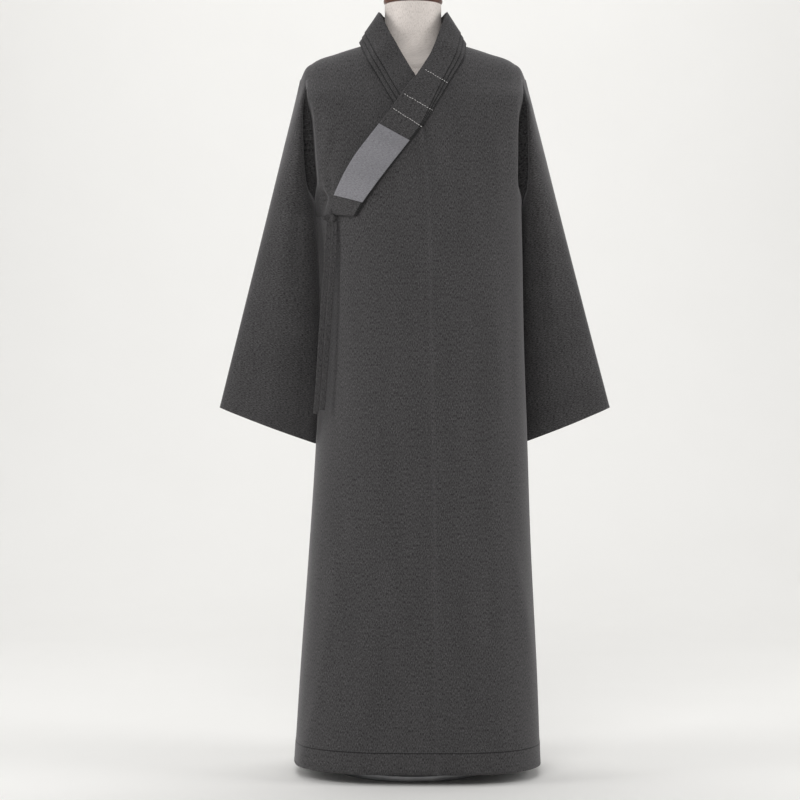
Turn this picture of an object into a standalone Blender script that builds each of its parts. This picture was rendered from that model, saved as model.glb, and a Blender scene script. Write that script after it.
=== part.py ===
"""Long cross-collared monk's gown on a limbless dress form.

Metres, +Z up, +X to the wearer's left, -Y to the front. The origin is the middle of the
stand's underside. The gown is cut in one piece over the shoulder, so each half is a front and a
back that meet along the shoulder and the sleeve's outer fold. Every cloth wall is built on one
reference surface, moved out or in by its layer, so that the layers stay parallel.
"""
import math

import bmesh
import bpy
import numpy as np

# Driving dimensions
HEM_HEIGHT = 0.020            # hem above the floor
GOWN_LENGTH = 1.3140          # neck point to hem
SHOULDER_HALF = 0.207         # centre to shoulder tip
SHOULDER_HEIGHT = 1.2725      # shoulder tip above the floor
UNDERARM_HEIGHT = 1.030
CUFF_INNER_HEIGHT = 0.600
CUFF_OUTER_HEIGHT = 0.666
CLOTH = 0.0020                # thickness of the fleece-backed cotton
LAYER_STEP = 0.0025           # from one cloth layer to the next one over it
SEAM_GAP = 0.00022            # each edge drawn back from its seam
FOLD_GAP = 0.0042             # the same where the armhole fold ends at the underarm
FADE_LOW, FADE_HIGH = 1.215, 1.265   # the armhole fold dies out between these heights
RIDGE_POINT = 0.172           # where the armhole fold's line meets the shoulder
HALF_NECKLINE = 0.078
BACK_NECK = (1.345, 0.028)    # the back neckline: its height at the sides, and its dip

BODY_COLUMNS = 9
SLEEVE_COLUMNS = 5
SKIRT_ROWS = 13
SLEEVE_ROWS = 9
SHOULDER_ROWS = (0.0, 0.14, 0.28, 0.42, 0.56, 0.68, 0.78, 0.86, 0.93, 0.975, 1.0)
UNDERLAP_COLUMNS = 5

COLLAR_ACROSS = 4             # cross-section steps over the collar's width
COLLAR_SHEET = 0.0010         # thickness of one of its three bands
COLLAR_GAP = 0.0003
COLLAR_LIFT = 0.0020          # under side of the collar over the cloth it crosses
COLLAR_STATIONS = 50
CROSSING_LIFT = 0.0058        # how far the upper end rises over the lower end
PATCH_THICKNESS = 0.0010

TIE_WIDTH = 0.010
TIE_THICKNESS = 0.0022

NECK_HALF_WIDTH = 0.0520
POLE_RADIUS = 0.016
BASE_RADIUS = 0.142
BASE_THICKNESS = 0.012
TORSO_BOTTOM = 0.700


def table(names, *rows):
    """A table as a dictionary from column name to its values; the first column is the key."""
    return dict(zip(names.split(), np.array(rows, float).T))


def read(rows, name, where):
    """A table's column at any value of its first column: a smooth curve through the rows."""
    key = next(iter(rows.values()))
    value = rows[name]
    slope = np.gradient(value, key)
    at = np.clip(where, key[0], key[-1])
    low = np.clip(np.searchsorted(key, at, side="right") - 1, 0, len(key) - 2)
    step = key[low + 1] - key[low]
    f = (at - key[low]) / step
    return (value[low] * (1 + 2 * f) * (1 - f) ** 2 + value[low + 1] * f * f * (3 - 2 * f)
            + step * (slope[low] * f * (1 - f) ** 2 - slope[low + 1] * f * f * (1 - f)))


# Front and back depth of the body, and how square its corners are
BODY = table(
    "height front back square_front square_back",
    (0.020, -0.180, 0.165, 3.0, 2.5),
    (0.300, -0.166, 0.146, 2.7, 2.4),
    (0.600, -0.150, 0.126, 2.4, 2.3),
    (0.800, -0.141, 0.114, 2.3, 2.3),
    (0.950, -0.132, 0.106, 2.3, 2.3),
    (1.050, -0.124, 0.105, 2.4, 2.4),
    (1.150, -0.118, 0.108, 2.5, 2.5),
    (1.235, -0.112, 0.102, 2.5, 2.5),
    (1.340, -0.105, 0.090, 2.5, 2.5))

# Side seam up to the underarm, and above it the two sides of the armhole fold
SIDE = {
    +1: table(
        "height x front back",
        (0.020, 0.2320, 0.000, 0.000),
        (0.160, 0.2275, 0.000, 0.000),
        (0.430, 0.2150, -0.004, -0.004),
        (0.610, 0.2090, -0.012, -0.012),
        (0.790, 0.2025, -0.020, -0.020),
        (0.960, 0.1995, -0.020, -0.020),
        (1.030, 0.1990, -0.004, -0.004),
        (1.080, 0.1990, -0.022, 0.028),
        (1.150, 0.1995, -0.038, 0.048),
        (1.235, 0.1990, -0.052, 0.055),
        (1.275, 0.1920, -0.056, 0.058)),
    -1: table(
        "height x front back",
        (0.020, 0.2145, 0.000, 0.000),
        (0.210, 0.2025, 0.005, 0.005),
        (0.385, 0.1905, 0.020, 0.020),
        (0.535, 0.1810, 0.036, 0.036),
        (0.600, 0.1775, 0.044, 0.044),
        (0.700, 0.1740, 0.050, 0.050),
        (0.900, 0.1745, 0.050, 0.050),
        (0.960, 0.1765, 0.050, 0.050),
        (1.000, 0.1785, 0.042, 0.042),
        (1.030, 0.1795, 0.026, 0.026),
        (1.080, 0.1840, -0.014, 0.034),
        (1.150, 0.1890, -0.036, 0.050),
        (1.235, 0.1925, -0.052, 0.055),
        (1.275, 0.1880, -0.056, 0.058))}

# Sleeve: its inner edge, its outer fold and how far its two faces swell
SLEEVE = {
    +1: table(
        "height in_x front back out_x fold swell_front swell_back",
        (0.600, 0.2055, 0.050, 0.050, 0.3847, 0.040, 0.026, 0.026),
        (0.700, 0.1990, 0.050, 0.050, 0.3583, 0.038, 0.030, 0.029),
        (0.800, 0.1950, 0.047, 0.047, 0.3318, 0.035, 0.034, 0.032),
        (0.900, 0.1935, 0.041, 0.041, 0.3054, 0.030, 0.038, 0.036),
        (0.970, 0.1960, 0.031, 0.031, 0.2869, 0.026, 0.041, 0.040),
        (1.000, 0.1992, 0.022, 0.022, 0.2790, 0.024, 0.043, 0.042),
        (1.030, 0.2024, 0.011, 0.011, 0.2711, 0.022, 0.044, 0.043),
        (1.080, 0.2065, -0.018, 0.030, 0.2579, 0.018, 0.045, 0.044),
        (1.150, 0.2070, -0.036, 0.050, 0.2394, 0.012, 0.044, 0.042),
        (1.235, 0.2040, -0.050, 0.056, 0.2169, 0.006, 0.034, 0.034),
        (1.275, 0.1970, -0.055, 0.058, 0.2075, 0.005, 0.024, 0.024)),
    -1: table(
        "height in_x front back out_x fold swell_front swell_back",
        (0.600, 0.1800, -0.014, -0.014, 0.3722, -0.010, 0.026, 0.026),
        (0.700, 0.1745, -0.015, -0.015, 0.3476, -0.008, 0.030, 0.030),
        (0.800, 0.1725, -0.015, -0.015, 0.3230, -0.006, 0.034, 0.034),
        (0.900, 0.1735, -0.017, -0.017, 0.2985, -0.002, 0.038, 0.038),
        (0.960, 0.1755, -0.018, -0.018, 0.2837, 0.000, 0.040, 0.040),
        (1.000, 0.1786, -0.018, -0.018, 0.2739, 0.002, 0.042, 0.042),
        (1.030, 0.1822, -0.012, -0.012, 0.2666, 0.003, 0.043, 0.043),
        (1.080, 0.1915, -0.022, 0.030, 0.2543, 0.004, 0.044, 0.044),
        (1.150, 0.1970, -0.040, 0.048, 0.2371, 0.004, 0.043, 0.043),
        (1.235, 0.1975, -0.052, 0.054, 0.2162, 0.005, 0.034, 0.034),
        (1.275, 0.1930, -0.056, 0.058, 0.2075, 0.005, 0.024, 0.024))}

SHOULDER_LINE = table(
    "x height",
    (0.000, 1.3520), (0.094, HEM_HEIGHT + GOWN_LENGTH), (0.140, 1.3195), (0.185, 1.3020), (0.199, 1.2905),
    (0.207, SHOULDER_HEIGHT))
CENTRE_FRONT = table("height x", (0.02, 0.041), (0.80, 0.031), (1.15, 0.019), (1.26, 0.006),
                     (1.34, 0.0))
SHOULDER_ROUNDING = table("x drop", (0.0, 0.190), (0.09, 0.190), (0.15, 0.130), (0.207, 0.075))

# The collar's sewn edge and free edge: its upper end on the chest, from its end to the neck
COLLAR_UPPER = table(
    "station sewn_x sewn_z free_x free_z",
    (0, -0.0992, 1.0105, -0.1493, 1.0171),
    (1, -0.0797, 1.0420, -0.1332, 1.0629),
    (2, -0.0437, 1.0922, -0.1045, 1.1164),
    (3, -0.0056, 1.1416, -0.0616, 1.1727),
    (4, 0.0171, 1.1703, -0.0357, 1.2061),
    (5, 0.0377, 1.2038, -0.0133, 1.2370),
    (6, 0.0574, 1.2376, 0.0056, 1.2623),
    (7, 0.0777, 1.2735, 0.0255, 1.2960))
# Round the neck, where it stands free of the chest
COLLAR_NECK = table(
    "station sewn_x sewn_y sewn_z free_x free_y free_z",
    (8, 0.0942, -0.0500, 1.3103, 0.0442, -0.0600, 1.3430),
    (9, 0.0975, -0.0150, 1.3360, 0.0580, -0.0330, 1.3850),
    (10, 0.0930, 0.0170, 1.3370, 0.0590, 0.0040, 1.3960),
    (11, 0.0700, 0.0430, 1.3260, 0.0470, 0.0370, 1.3920),
    (12, 0.0000, 0.0615, 1.3120, 0.0000, 0.0500, 1.3800),
    (13, -0.0700, 0.0430, 1.3260, -0.0470, 0.0370, 1.3920),
    (14, -0.0930, 0.0170, 1.3370, -0.0590, 0.0040, 1.3960),
    (15, -0.0985, -0.0160, 1.3365, -0.0580, -0.0330, 1.3850),
    (16, -0.0835, -0.0640, 1.2985, -0.0404, -0.0580, 1.3458))
# The lower end, which stops under the upper one just past the V
COLLAR_LOWER = table(
    "station sewn_x sewn_z free_x free_z",
    (17, -0.0601, 1.2554, -0.0186, 1.3032),
    (18, -0.0370, 1.2130, 0.0045, 1.2616),
    (18.5, -0.0300, 1.2000, 0.0115, 1.2480))
# Where each stacked band starts, as a share of the collar's width from its sewn edge
COLLAR_STEPS = table(
    "station middle top",
    (0, 0.03, 0.06), (4, 0.03, 0.06), (6, 0.07, 0.14), (8, 0.08, 0.16), (18.5, 0.08, 0.16))
COLLAR_END = 18.5
PATCH_SPAN = (2, 8)           # the collar stations that the patch covers

# Where the two hanging tie ends pass, seen from the front
TIES = {
    "tie_end_outer": table("height x", (0.655, -0.1765), (0.780, -0.1670), (0.895, -0.1590),
                           (1.003, -0.1530)),
    "tie_end_inner": table("height x", (0.662, -0.1652), (0.780, -0.1557), (0.895, -0.1477),
                           (1.003, -0.1415))}
TIE_CLEARANCE = 0.0062
KNOT = (-0.1510, 1.0095)
KNOT_SIZE = (0.0098, 0.0060, 0.0055)

TORSO = table(
    "height half front back",
    (0.700, 0.158, -0.104, 0.104),
    (0.800, 0.152, -0.100, 0.096),
    (0.900, 0.146, -0.098, 0.088),
    (1.000, 0.149, -0.103, 0.090),
    (1.100, 0.158, -0.106, 0.096),
    (1.180, 0.168, -0.102, 0.097),
    (1.240, 0.178, -0.094, 0.090),
    (1.275, 0.184, -0.088, 0.082))
FORM_NECK = table(
    "height half_width front back",
    (1.262, 0.096, -0.062, 0.056),
    (1.290, 0.084, -0.066, 0.060),
    (1.315, 0.066, -0.054, 0.049),
    (1.340, 0.056, -0.050, 0.040),
    (1.370, 0.0525, -0.052, 0.036),
    (1.408, 0.0520, -0.056, 0.032))

CLOTH_GREY = (0.055, 0.053, 0.054)
PATCH_GREY = (0.200, 0.195, 0.205)
LINEN = (0.600, 0.550, 0.510)
WOOD = (0.110, 0.045, 0.030)
STEEL = (0.450, 0.450, 0.460)


def smooth(value, low, high):
    """0 below low, 1 above high, with a smooth rise between."""
    f = np.clip((value - low) / (high - low), 0.0, 1.0)
    return f * f * (3 - 2 * f)


def over_shoulder(x, z):
    """How far the cloth has come forward at a point below the shoulder line, 0 to 1."""
    drop = read(SHOULDER_LINE, "height", x) - z
    f = np.clip(drop / read(SHOULDER_ROUNDING, "drop", x), 0.0, 1.0)
    return np.sqrt(np.maximum(1 - (1 - f) ** 2, 0.0))


def plain_depth(side, face, x, z):
    """The section without an armhole fold: one round arc from the centre to the outer fold."""
    name = "front" if face < 0 else "back"
    fold = read(SLEEVE[side], "fold", z)
    share = np.clip(np.abs(x) / read(SLEEVE[side], "out_x", z), 0.0, 1.0)
    return fold + (read(BODY, name, z) - fold) * (1 - share ** 2.4) ** (1 / 2.4)


def finish_depth(side, face, x, z, creased):
    """Fades the fold out towards the shoulder and rounds the section over it."""
    fold = read(SLEEVE[side], "fold", z)
    creasing = 1 - smooth(z, FADE_LOW, FADE_HIGH)
    section = creased * creasing + plain_depth(side, face, x, z) * (1 - creasing)
    return fold + (section - fold) * over_shoulder(np.abs(x), z)


def body_depth(side, face, share, x, z):
    """Depth of the body where share runs from 0 at the centre to 1 at the side."""
    name = "front" if face < 0 else "back"
    square = read(BODY, "square_" + name, z)
    arc = np.maximum(1 - np.clip(share, 0, 1) ** square, 0.0) ** (1 / square)
    edge = read(SIDE[side], name, z)
    return finish_depth(side, face, x, z, edge + (read(BODY, name, z) - edge) * arc)


def sleeve_depth(side, face, share, x, z):
    """Depth of the sleeve where share runs from 0 at its inner edge to 1 at its outer fold."""
    name = "front" if face < 0 else "back"
    line = read(SLEEVE[side], name, z) * (1 - share) + read(SLEEVE[side], "fold", z) * share
    swell = face * read(SLEEVE[side], "swell_" + name, z)
    arc = np.sqrt(np.maximum(1 - (2 * share - 1) ** 2, 0.0))
    return finish_depth(side, face, x, z, line + swell * arc)


def layer_share(share, z):
    """The share that sets a layer's level: near the shoulder all layers come together."""
    return share + (1 - share) * smooth(z, 1.24, 1.325)


def centre_line(side, face, z):
    """Where a half starts: the centre-front seam lies off the middle, the back seam on it."""
    return side * read(CENTRE_FRONT, "x", z) if face < 0 else 0.0 * z


def quarter(side, face):
    """One front or back of one half, as grids of points, rows by columns, with each point's
    share of the way from the centre to the side."""
    columns = np.arange(BODY_COLUMNS + 1) / BODY_COLUMNS
    across = np.sin(columns * math.pi / 2) ** 0.92
    along = (1 - np.cos(np.arange(SLEEVE_COLUMNS + 1) * math.pi / SLEEVE_COLUMNS)) / 2
    rise = np.array(SHOULDER_ROWS)[:, None]
    tip = UNDERARM_HEIGHT + (SHOULDER_HEIGHT - UNDERARM_HEIGHT) * rise

    def lifted(x):
        ridge = read(SHOULDER_LINE, "height", np.abs(x))
        return tip + rise ** 4 * (ridge - SHOULDER_HEIGHT)

    start = centre_line(side, face, lifted(0.0 * tip))
    gather = smooth(rise, 0.93, 1.0)
    edge = read(SIDE[side], "x", tip) * (1 - gather) + RIDGE_POINT * gather
    x_body = start + (edge - start) * across
    z_body = lifted(x_body)
    y_body = body_depth(side, face, across[None, :] + 0 * x_body, x_body, z_body)
    inner = read(SLEEVE[side], "in_x", tip) * (1 - gather) + (RIDGE_POINT + 0.004) * gather
    x_sleeve = inner + (read(SLEEVE[side], "out_x", tip) - inner) * along
    z_sleeve = lifted(x_sleeve)
    y_sleeve = sleeve_depth(side, face, along[None, :] + 0 * x_sleeve, x_sleeve, z_sleeve)
    upper = np.dstack([np.hstack([x_body, x_sleeve]), np.hstack([y_body, y_sleeve]),
                       np.hstack([z_body, z_sleeve])])
    upper_share = np.hstack([layer_share(across, z_body), 1 + 0 * x_sleeve])

    down = np.linspace(0, 1, SKIRT_ROWS + 1)[:, None]
    z = UNDERARM_HEIGHT + (HEM_HEIGHT - UNDERARM_HEIGHT) * down + 0 * across
    start = centre_line(side, face, z)
    x = start + (read(SIDE[side], "x", z) - start) * across
    skirt = np.dstack([x, body_depth(side, face, across + 0 * x, x, z), z])

    down = np.linspace(0, 1, SLEEVE_ROWS + 1)[:, None]
    cuff = CUFF_INNER_HEIGHT + (CUFF_OUTER_HEIGHT - CUFF_INNER_HEIGHT) * along
    z = UNDERARM_HEIGHT + (cuff - UNDERARM_HEIGHT) * down
    inner = read(SLEEVE[side], "in_x", z)
    x = inner + (read(SLEEVE[side], "out_x", z) - inner) * along
    sleeve = np.dstack([x, sleeve_depth(side, face, along + 0 * x, x, z), z])

    grids = {"upper": upper, "skirt": skirt, "sleeve": sleeve}
    for grid in grids.values():
        grid[:, :, 0] *= side
    shares = {"upper": upper_share, "skirt": across + 0 * skirt[:, :, 0],
              "sleeve": 1 + 0 * sleeve[:, :, 0]}
    return grids, shares


def key_of(point):
    """A point's place in whole micrometres, the same on both sides of a seam."""
    return tuple(int(round(value * 1e6)) for value in point)


class Surface:
    """Quads over shared points; every quad's corners run so that its front faces out."""

    def __init__(self):
        self.points = {}
        self.shares = {}
        self.quads = []

    def add(self, grid, shares, outwards):
        """Adds a grid; outwards is +1 where rows cross columns gives the outer side."""
        rows, columns = grid.shape[:2]
        keys = [[key_of(grid[r, c]) for c in range(columns)] for r in range(rows)]
        for r in range(rows):
            for c in range(columns):
                self.points.setdefault(keys[r][c], grid[r, c])
                self.shares.setdefault(keys[r][c], float(shares[r, c]))
        for r in range(rows - 1):
            for c in range(columns - 1):
                quad = [keys[r][c], keys[r][c + 1], keys[r + 1][c + 1], keys[r + 1][c]]
                self.quads.append(quad if outwards > 0 else quad[::-1])

    def normals(self):
        """Unit normals at the points, each the sum of the normals of the quads around it."""
        total = {key: np.zeros(3) for key in self.points}
        for quad in self.quads:
            a, b, c, d = (self.points[key] for key in quad)
            normal = np.cross(c - a, d - b)
            length = np.linalg.norm(normal)
            for key in set(quad):
                total[key] += normal / max(length, 1e-12)
        return {key: value / max(np.linalg.norm(value), 1e-12) for key, value in total.items()}


def outward_sign(side, face, name):
    """Upper rows run up and the others down, so their quads turn opposite ways."""
    return side * face * (1 if name == "upper" else -1) * -1


def welded_gown(quarters):
    """The whole gown as one surface, for normals that agree across every seam."""
    gown = Surface()
    for (side, face), (grids, shares) in quarters.items():
        for name, grid in grids.items():
            gown.add(grid, shares[name], outward_sign(side, face, name))
    return gown


def ends_fold(point, share):
    """Whether a point is the foot of the armhole fold, where four walls come together."""
    return (abs(point[2] - UNDERARM_HEIGHT) < 1e-6 and share > 0.999
            and abs(point[0]) < SHOULDER_HALF)


def shell(surface, normals, level, thickness=CLOTH):
    """A closed wall on a surface: level(share) is its middle's height over the surface."""
    edges = {}
    reach = {key: [] for key in surface.points}
    quads = [[key for i, key in enumerate(quad) if key != quad[i - 1]] for quad in surface.quads]
    quads = [quad for quad in quads if len(quad) > 2]
    for quad in quads:
        middle = sum(surface.points[key] for key in quad) / len(quad)
        for i, key in enumerate(quad):
            following = quad[(i + 1) % len(quad)]
            edges[(key, following)] = edges.get((key, following), 0) + 1
            reach[key].append(middle)
    border = [edge for edge in edges if (edge[1], edge[0]) not in edges]
    on_border = {key for edge in border for key in edge}
    mesh = bmesh.new()
    outer, inner = {}, {}
    for key in reach:
        if not reach[key]:
            continue
        point = surface.points[key].copy()
        normal = normals[key]
        if key in on_border:
            inwards = sum(reach[key]) / len(reach[key]) - point
            inwards -= normal * inwards.dot(normal)
            gap = FOLD_GAP if ends_fold(point, surface.shares[key]) else SEAM_GAP
            point = point + inwards / max(np.linalg.norm(inwards), 1e-9) * gap
        height = level(surface.shares[key])
        outer[key] = mesh.verts.new(point + normal * (height + thickness / 2))
        inner[key] = mesh.verts.new(point + normal * (height - thickness / 2))
    for quad in quads:
        corners = [quad] if len(quad) == 3 else [
            [quad[0], quad[1], quad[2]], [quad[0], quad[2], quad[3]]]
        for corner in corners:
            mesh.faces.new([outer[key] for key in corner])
            mesh.faces.new([inner[key] for key in reversed(corner)])
    for first, second in border:
        mesh.faces.new([outer[second], outer[first], inner[first]])
        mesh.faces.new([outer[second], inner[first], inner[second]])
    return mesh


def material(name, colour, roughness, metallic=0.0):
    finish = bpy.data.materials.get(name)
    if finish is None:
        finish = bpy.data.materials.new(name)
        finish.use_nodes = True
        shader = finish.node_tree.nodes["Principled BSDF"]
        shader.inputs["Base Color"].default_value = (*colour, 1.0)
        shader.inputs["Roughness"].default_value = roughness
        shader.inputs["Metallic"].default_value = metallic
    return finish


def place(name, mesh, finish, smooth_angle=50):
    """Makes a named object of a bmesh."""
    bmesh.ops.recalc_face_normals(mesh, faces=mesh.faces)
    data = bpy.data.meshes.new(name)
    mesh.to_mesh(data)
    mesh.free()
    data.materials.append(finish)
    data.shade_smooth()
    data.set_sharp_from_angle(angle=math.radians(smooth_angle))
    thing = bpy.data.objects.new(name, data)
    bpy.context.scene.collection.objects.link(thing)
    return thing


def prism(name, outline, y_front, y_back):
    """A hidden cutter: an outline in X and Z carried from one depth to another."""
    mesh = bmesh.new()
    near = [mesh.verts.new((x, y_front, z)) for x, z in outline]
    far = [mesh.verts.new((x, y_back, z)) for x, z in outline]
    mesh.faces.new(near)
    mesh.faces.new(far[::-1])
    for i in range(len(outline)):
        j = (i + 1) % len(outline)
        mesh.faces.new([near[j], near[i], far[i], far[j]])
    bmesh.ops.recalc_face_normals(mesh, faces=mesh.faces)
    data = bpy.data.meshes.new(name)
    mesh.to_mesh(data)
    mesh.free()
    cutter = bpy.data.objects.new(name, data)
    bpy.context.scene.collection.objects.link(cutter)
    cutter.hide_render = True
    cutter.display_type = "WIRE"
    return cutter


def cut(thing, cutter, operation="DIFFERENCE"):
    change = thing.modifiers.new(cutter.name, "BOOLEAN")
    change.operation = operation
    change.solver = "EXACT"
    change.object = cutter


def piece_of(quarters, parts):
    """A surface of some grids; parts are (side, face, grid name, number of columns or None)."""
    surface = Surface()
    for side, face, name, columns in parts:
        grids, shares = quarters[(side, face)]
        surface.add(grids[name][:, :columns], shares[name][:, :columns],
                    outward_sign(side, face, name))
    return surface


def flat_level(share):
    return 0.0


def under_level(share):
    """The wrapped-under front: a layer down at the centre, level with the seams at the side."""
    return -LAYER_STEP * (1 - smooth(share, 0.0, 1.0))


def over_level(share):
    """The wrap over it: level at the centre-front seam, a layer up at the side."""
    return LAYER_STEP * smooth(share, 0.0, 1.0)


def underlap_level(share):
    return -LAYER_STEP


def chest_share(x, z):
    """A chest point's side, and its share of the way from the centre-front seam to the side."""
    side = 1 if x > read(CENTRE_FRONT, "x", z) else -1
    start = side * read(CENTRE_FRONT, "x", z)
    return side, (side * x - start) / (read(SIDE[side], "x", z) - start)


def chest_depth(x, z):
    side, share = chest_share(x, z)
    return float(body_depth(side, -1, share, side * x, z))


def chest_point(x, z, height):
    """A point over the front of the gown, moved out along the surface's own normal."""
    step = 0.004
    y = chest_depth(x, z)
    slope_x = (chest_depth(x + step, z) - chest_depth(x - step, z)) / (2 * step)
    slope_z = (chest_depth(x, z + step) - chest_depth(x, z - step)) / (2 * step)
    normal = np.array([slope_x, -1.0, slope_z])
    return np.array([x, y, z]) + normal / np.linalg.norm(normal) * height


def collar_point(station, share):
    """A point of the collar's under side; share runs from the sewn edge to the free edge."""
    if station <= 7 or station >= 17:
        return chest_collar_point(COLLAR_UPPER if station <= 7 else COLLAR_LOWER,
                                  station, share)
    if 8 <= station <= 16:
        return neck_collar_point(station, share)
    low, high = (7, 8) if station < 8 else (16, 17)
    f = (station - low) / (high - low)
    before = collar_point(low, share) - collar_point(low - 0.25, share)
    after = collar_point(high + 0.25, share) - collar_point(high, share)
    span = (high - low) / 0.25
    return (collar_point(low, share) * (1 + 2 * f) * (1 - f) ** 2
            + collar_point(high, share) * f * f * (3 - 2 * f)
            + span * (before * f * (1 - f) ** 2 - after * f * f * (1 - f)))


def chest_collar_point(rows, station, share):
    x = (1 - share) * read(rows, "sewn_x", station) + share * read(rows, "free_x", station)
    z = (1 - share) * read(rows, "sewn_z", station) + share * read(rows, "free_z", station)
    place_share = layer_share(max(chest_share(x, z)[1], 0.0), z)
    if rows is COLLAR_UPPER:
        crossing = math.exp(-((station - 5.4) / 1.5) ** 2) * smooth(share, 0.0, 0.8)
        level = over_level(place_share) if x < 0 else 0.0
        return chest_point(x, z, level + CLOTH / 2 + COLLAR_LIFT + CROSSING_LIFT * crossing)
    level = under_level(place_share) if x < 0 else -LAYER_STEP
    return chest_point(x, z, level + CLOTH / 2 + COLLAR_LIFT)


def neck_collar_point(station, share):
    return np.array([(1 - share) * float(read(COLLAR_NECK, "sewn_" + axis, station))
                     + share * float(read(COLLAR_NECK, "free_" + axis, station))
                     for axis in "xyz"])


def collar_band(places, low, high, first_column=0):
    """A closed band on the collar's under side, between two heights over it. Its columns are
    the edges of the three bands and even steps from there, so that stacked bands match."""
    low_points, high_points = [], []
    step = 0.05
    for station in places:
        top = float(read(COLLAR_STEPS, "top", station))
        row = [0.0, float(read(COLLAR_STEPS, "middle", station))]
        row += [top + (1 - top) * i / COLLAR_ACROSS for i in range(COLLAR_ACROSS + 1)]
        lower, upper = [], []
        for share in row[first_column:]:
            point = collar_point(station, share)
            along = (collar_point(min(station + step, COLLAR_END), share)
                     - collar_point(max(station - step, 0), share))
            across = collar_point(station, min(share + 0.05, 1)) - collar_point(
                station, max(share - 0.05, 0))
            normal = np.cross(along, across)
            normal /= np.linalg.norm(normal)
            lower.append(point + normal * low)
            upper.append(point + normal * high)
        low_points.append(lower)
        high_points.append(upper)
    mesh = bmesh.new()
    rings = []
    for lower, upper in zip(low_points, high_points):
        rings.append([mesh.verts.new(p) for p in lower + upper[::-1]])
    for ring, following in zip(rings, rings[1:]):
        for i in range(len(ring)):
            j = (i + 1) % len(ring)
            mesh.faces.new([ring[i], ring[j], following[j], following[i]])
    for ring in (rings[0], rings[-1]):
        for i in range(len(ring) // 2 - 1):
            j = len(ring) - 1 - i
            mesh.faces.new([ring[i], ring[i + 1], ring[j - 1], ring[j]])
    bmesh.ops.triangulate(mesh, faces=mesh.faces)
    return mesh


def middle_line(rows):
    """The line under the middle of the collar, where the fronts' edges hide."""
    return [((a + c) / 2, (b + d) / 2) for a, b, c, d in zip(
        rows["sewn_x"], rows["sewn_z"], rows["free_x"], rows["free_z"])]


def gown():
    """The gown's panels."""
    quarters = {(side, face): quarter(side, face) for side in (1, -1) for face in (-1, 1)}
    normals = welded_gown(quarters).normals()
    grey = material("cloth_grey", CLOTH_GREY, 0.9)
    whole = ("upper", "skirt", "sleeve")
    plan = (
        ("front_left", 1, -1, flat_level, whole, None),
        ("back_left", 1, 1, flat_level, whole, None),
        ("front_right", -1, -1, under_level, whole, None),
        ("back_right", -1, 1, flat_level, whole, None),
        ("front_overlap", -1, -1, over_level, whole[:2], BODY_COLUMNS + 1),
        ("front_underlap", 1, -1, underlap_level, whole[:2], UNDERLAP_COLUMNS + 1))
    panels = {}
    for name, side, face, level, grids, columns in plan:
        surface = piece_of(quarters, [(side, face, grid, columns) for grid in grids])
        panels[name] = place(name, shell(surface, normals, level), grey)

    upper = middle_line(COLLAR_UPPER)
    lower = middle_line(COLLAR_LOWER)
    end_x, end_z = upper[0]
    over_cut = ([(-0.26, end_z + 0.002), (end_x, end_z + 0.002)] + upper[1:]
                + [(HALF_NECKLINE, 1.32), (HALF_NECKLINE, 1.42), (-0.26, 1.42)])
    tail_x, tail_z = lower[-1]
    under_cut = ([(-HALF_NECKLINE, 1.42), (-HALF_NECKLINE, 1.33)] + lower
                 + [(0.105, 1.06), (0.12, 0.98), (0.26, 0.98), (0.26, 1.42)])
    neck_cut = [(HALF_NECKLINE * math.cos(a), BACK_NECK[0] - BACK_NECK[1] * math.sin(a) ** 0.7)
                for a in np.linspace(0, math.pi, 13)]
    neck_cut += [(-HALF_NECKLINE, 1.42), (HALF_NECKLINE, 1.42)]
    over_cutter = prism("over_neckline", over_cut, -0.3, 0.02)
    under_cutter = prism("under_neckline", under_cut, -0.3, 0.02)
    back_cutter = prism("back_neckline", neck_cut, -0.02, 0.3)
    for name in ("front_left", "front_overlap"):
        cut(panels[name], over_cutter)
    for name in ("front_right", "front_underlap"):
        cut(panels[name], under_cutter)
    for name in ("back_left", "back_right"):
        cut(panels[name], back_cutter)


def collar():
    """Three bands, each set back a little from the one below it, and the patch on them."""
    grey = material("cloth_grey", CLOTH_GREY, 0.9)
    pitch = COLLAR_SHEET + COLLAR_GAP
    places = np.linspace(0, COLLAR_END, COLLAR_STATIONS)
    for number, name in enumerate(("collar_lower", "collar_middle", "collar_top")):
        low = number * pitch
        place(name, collar_band(places, low, low + COLLAR_SHEET, number), grey)
    first, last = PATCH_SPAN
    low = 3 * pitch
    place("collar_patch", collar_band(places[first:last + 1], low, low + PATCH_THICKNESS, 2),
          material("patch_grey", PATCH_GREY, 0.85))


def ribbon(path, width, thickness, facing):
    """A flat strip along a path; facing points out of its face, the width lies across it."""
    mesh = bmesh.new()
    rings = []
    for i, point in enumerate(path):
        along = path[min(i + 1, len(path) - 1)] - path[max(i - 1, 0)]
        along = along / np.linalg.norm(along)
        out = facing - along * facing.dot(along)
        out /= np.linalg.norm(out)
        across = np.cross(along, out)
        rings.append([mesh.verts.new(point + across * a * width / 2 + out * b * thickness / 2)
                      for a, b in ((-1, -1), (1, -1), (1, 1), (-1, 1))])
    for ring, following in zip(rings, rings[1:]):
        for i in range(4):
            j = (i + 1) % 4
            mesh.faces.new([ring[i], ring[j], following[j], following[i]])
    mesh.faces.new(rings[0][::-1])
    mesh.faces.new(rings[-1])
    return mesh


def cloth_in_front(x, z):
    """The most forward cloth at a place near the right side: body or sleeve."""
    depth = chest_depth(x, z)
    inner = float(read(SLEEVE[-1], "in_x", z))
    outer = float(read(SLEEVE[-1], "out_x", z))
    share = (abs(x) - inner) / (outer - inner)
    if 0 < share < 1:
        depth = min(depth, float(sleeve_depth(-1, -1, share, abs(x), z)))
    return depth


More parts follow.
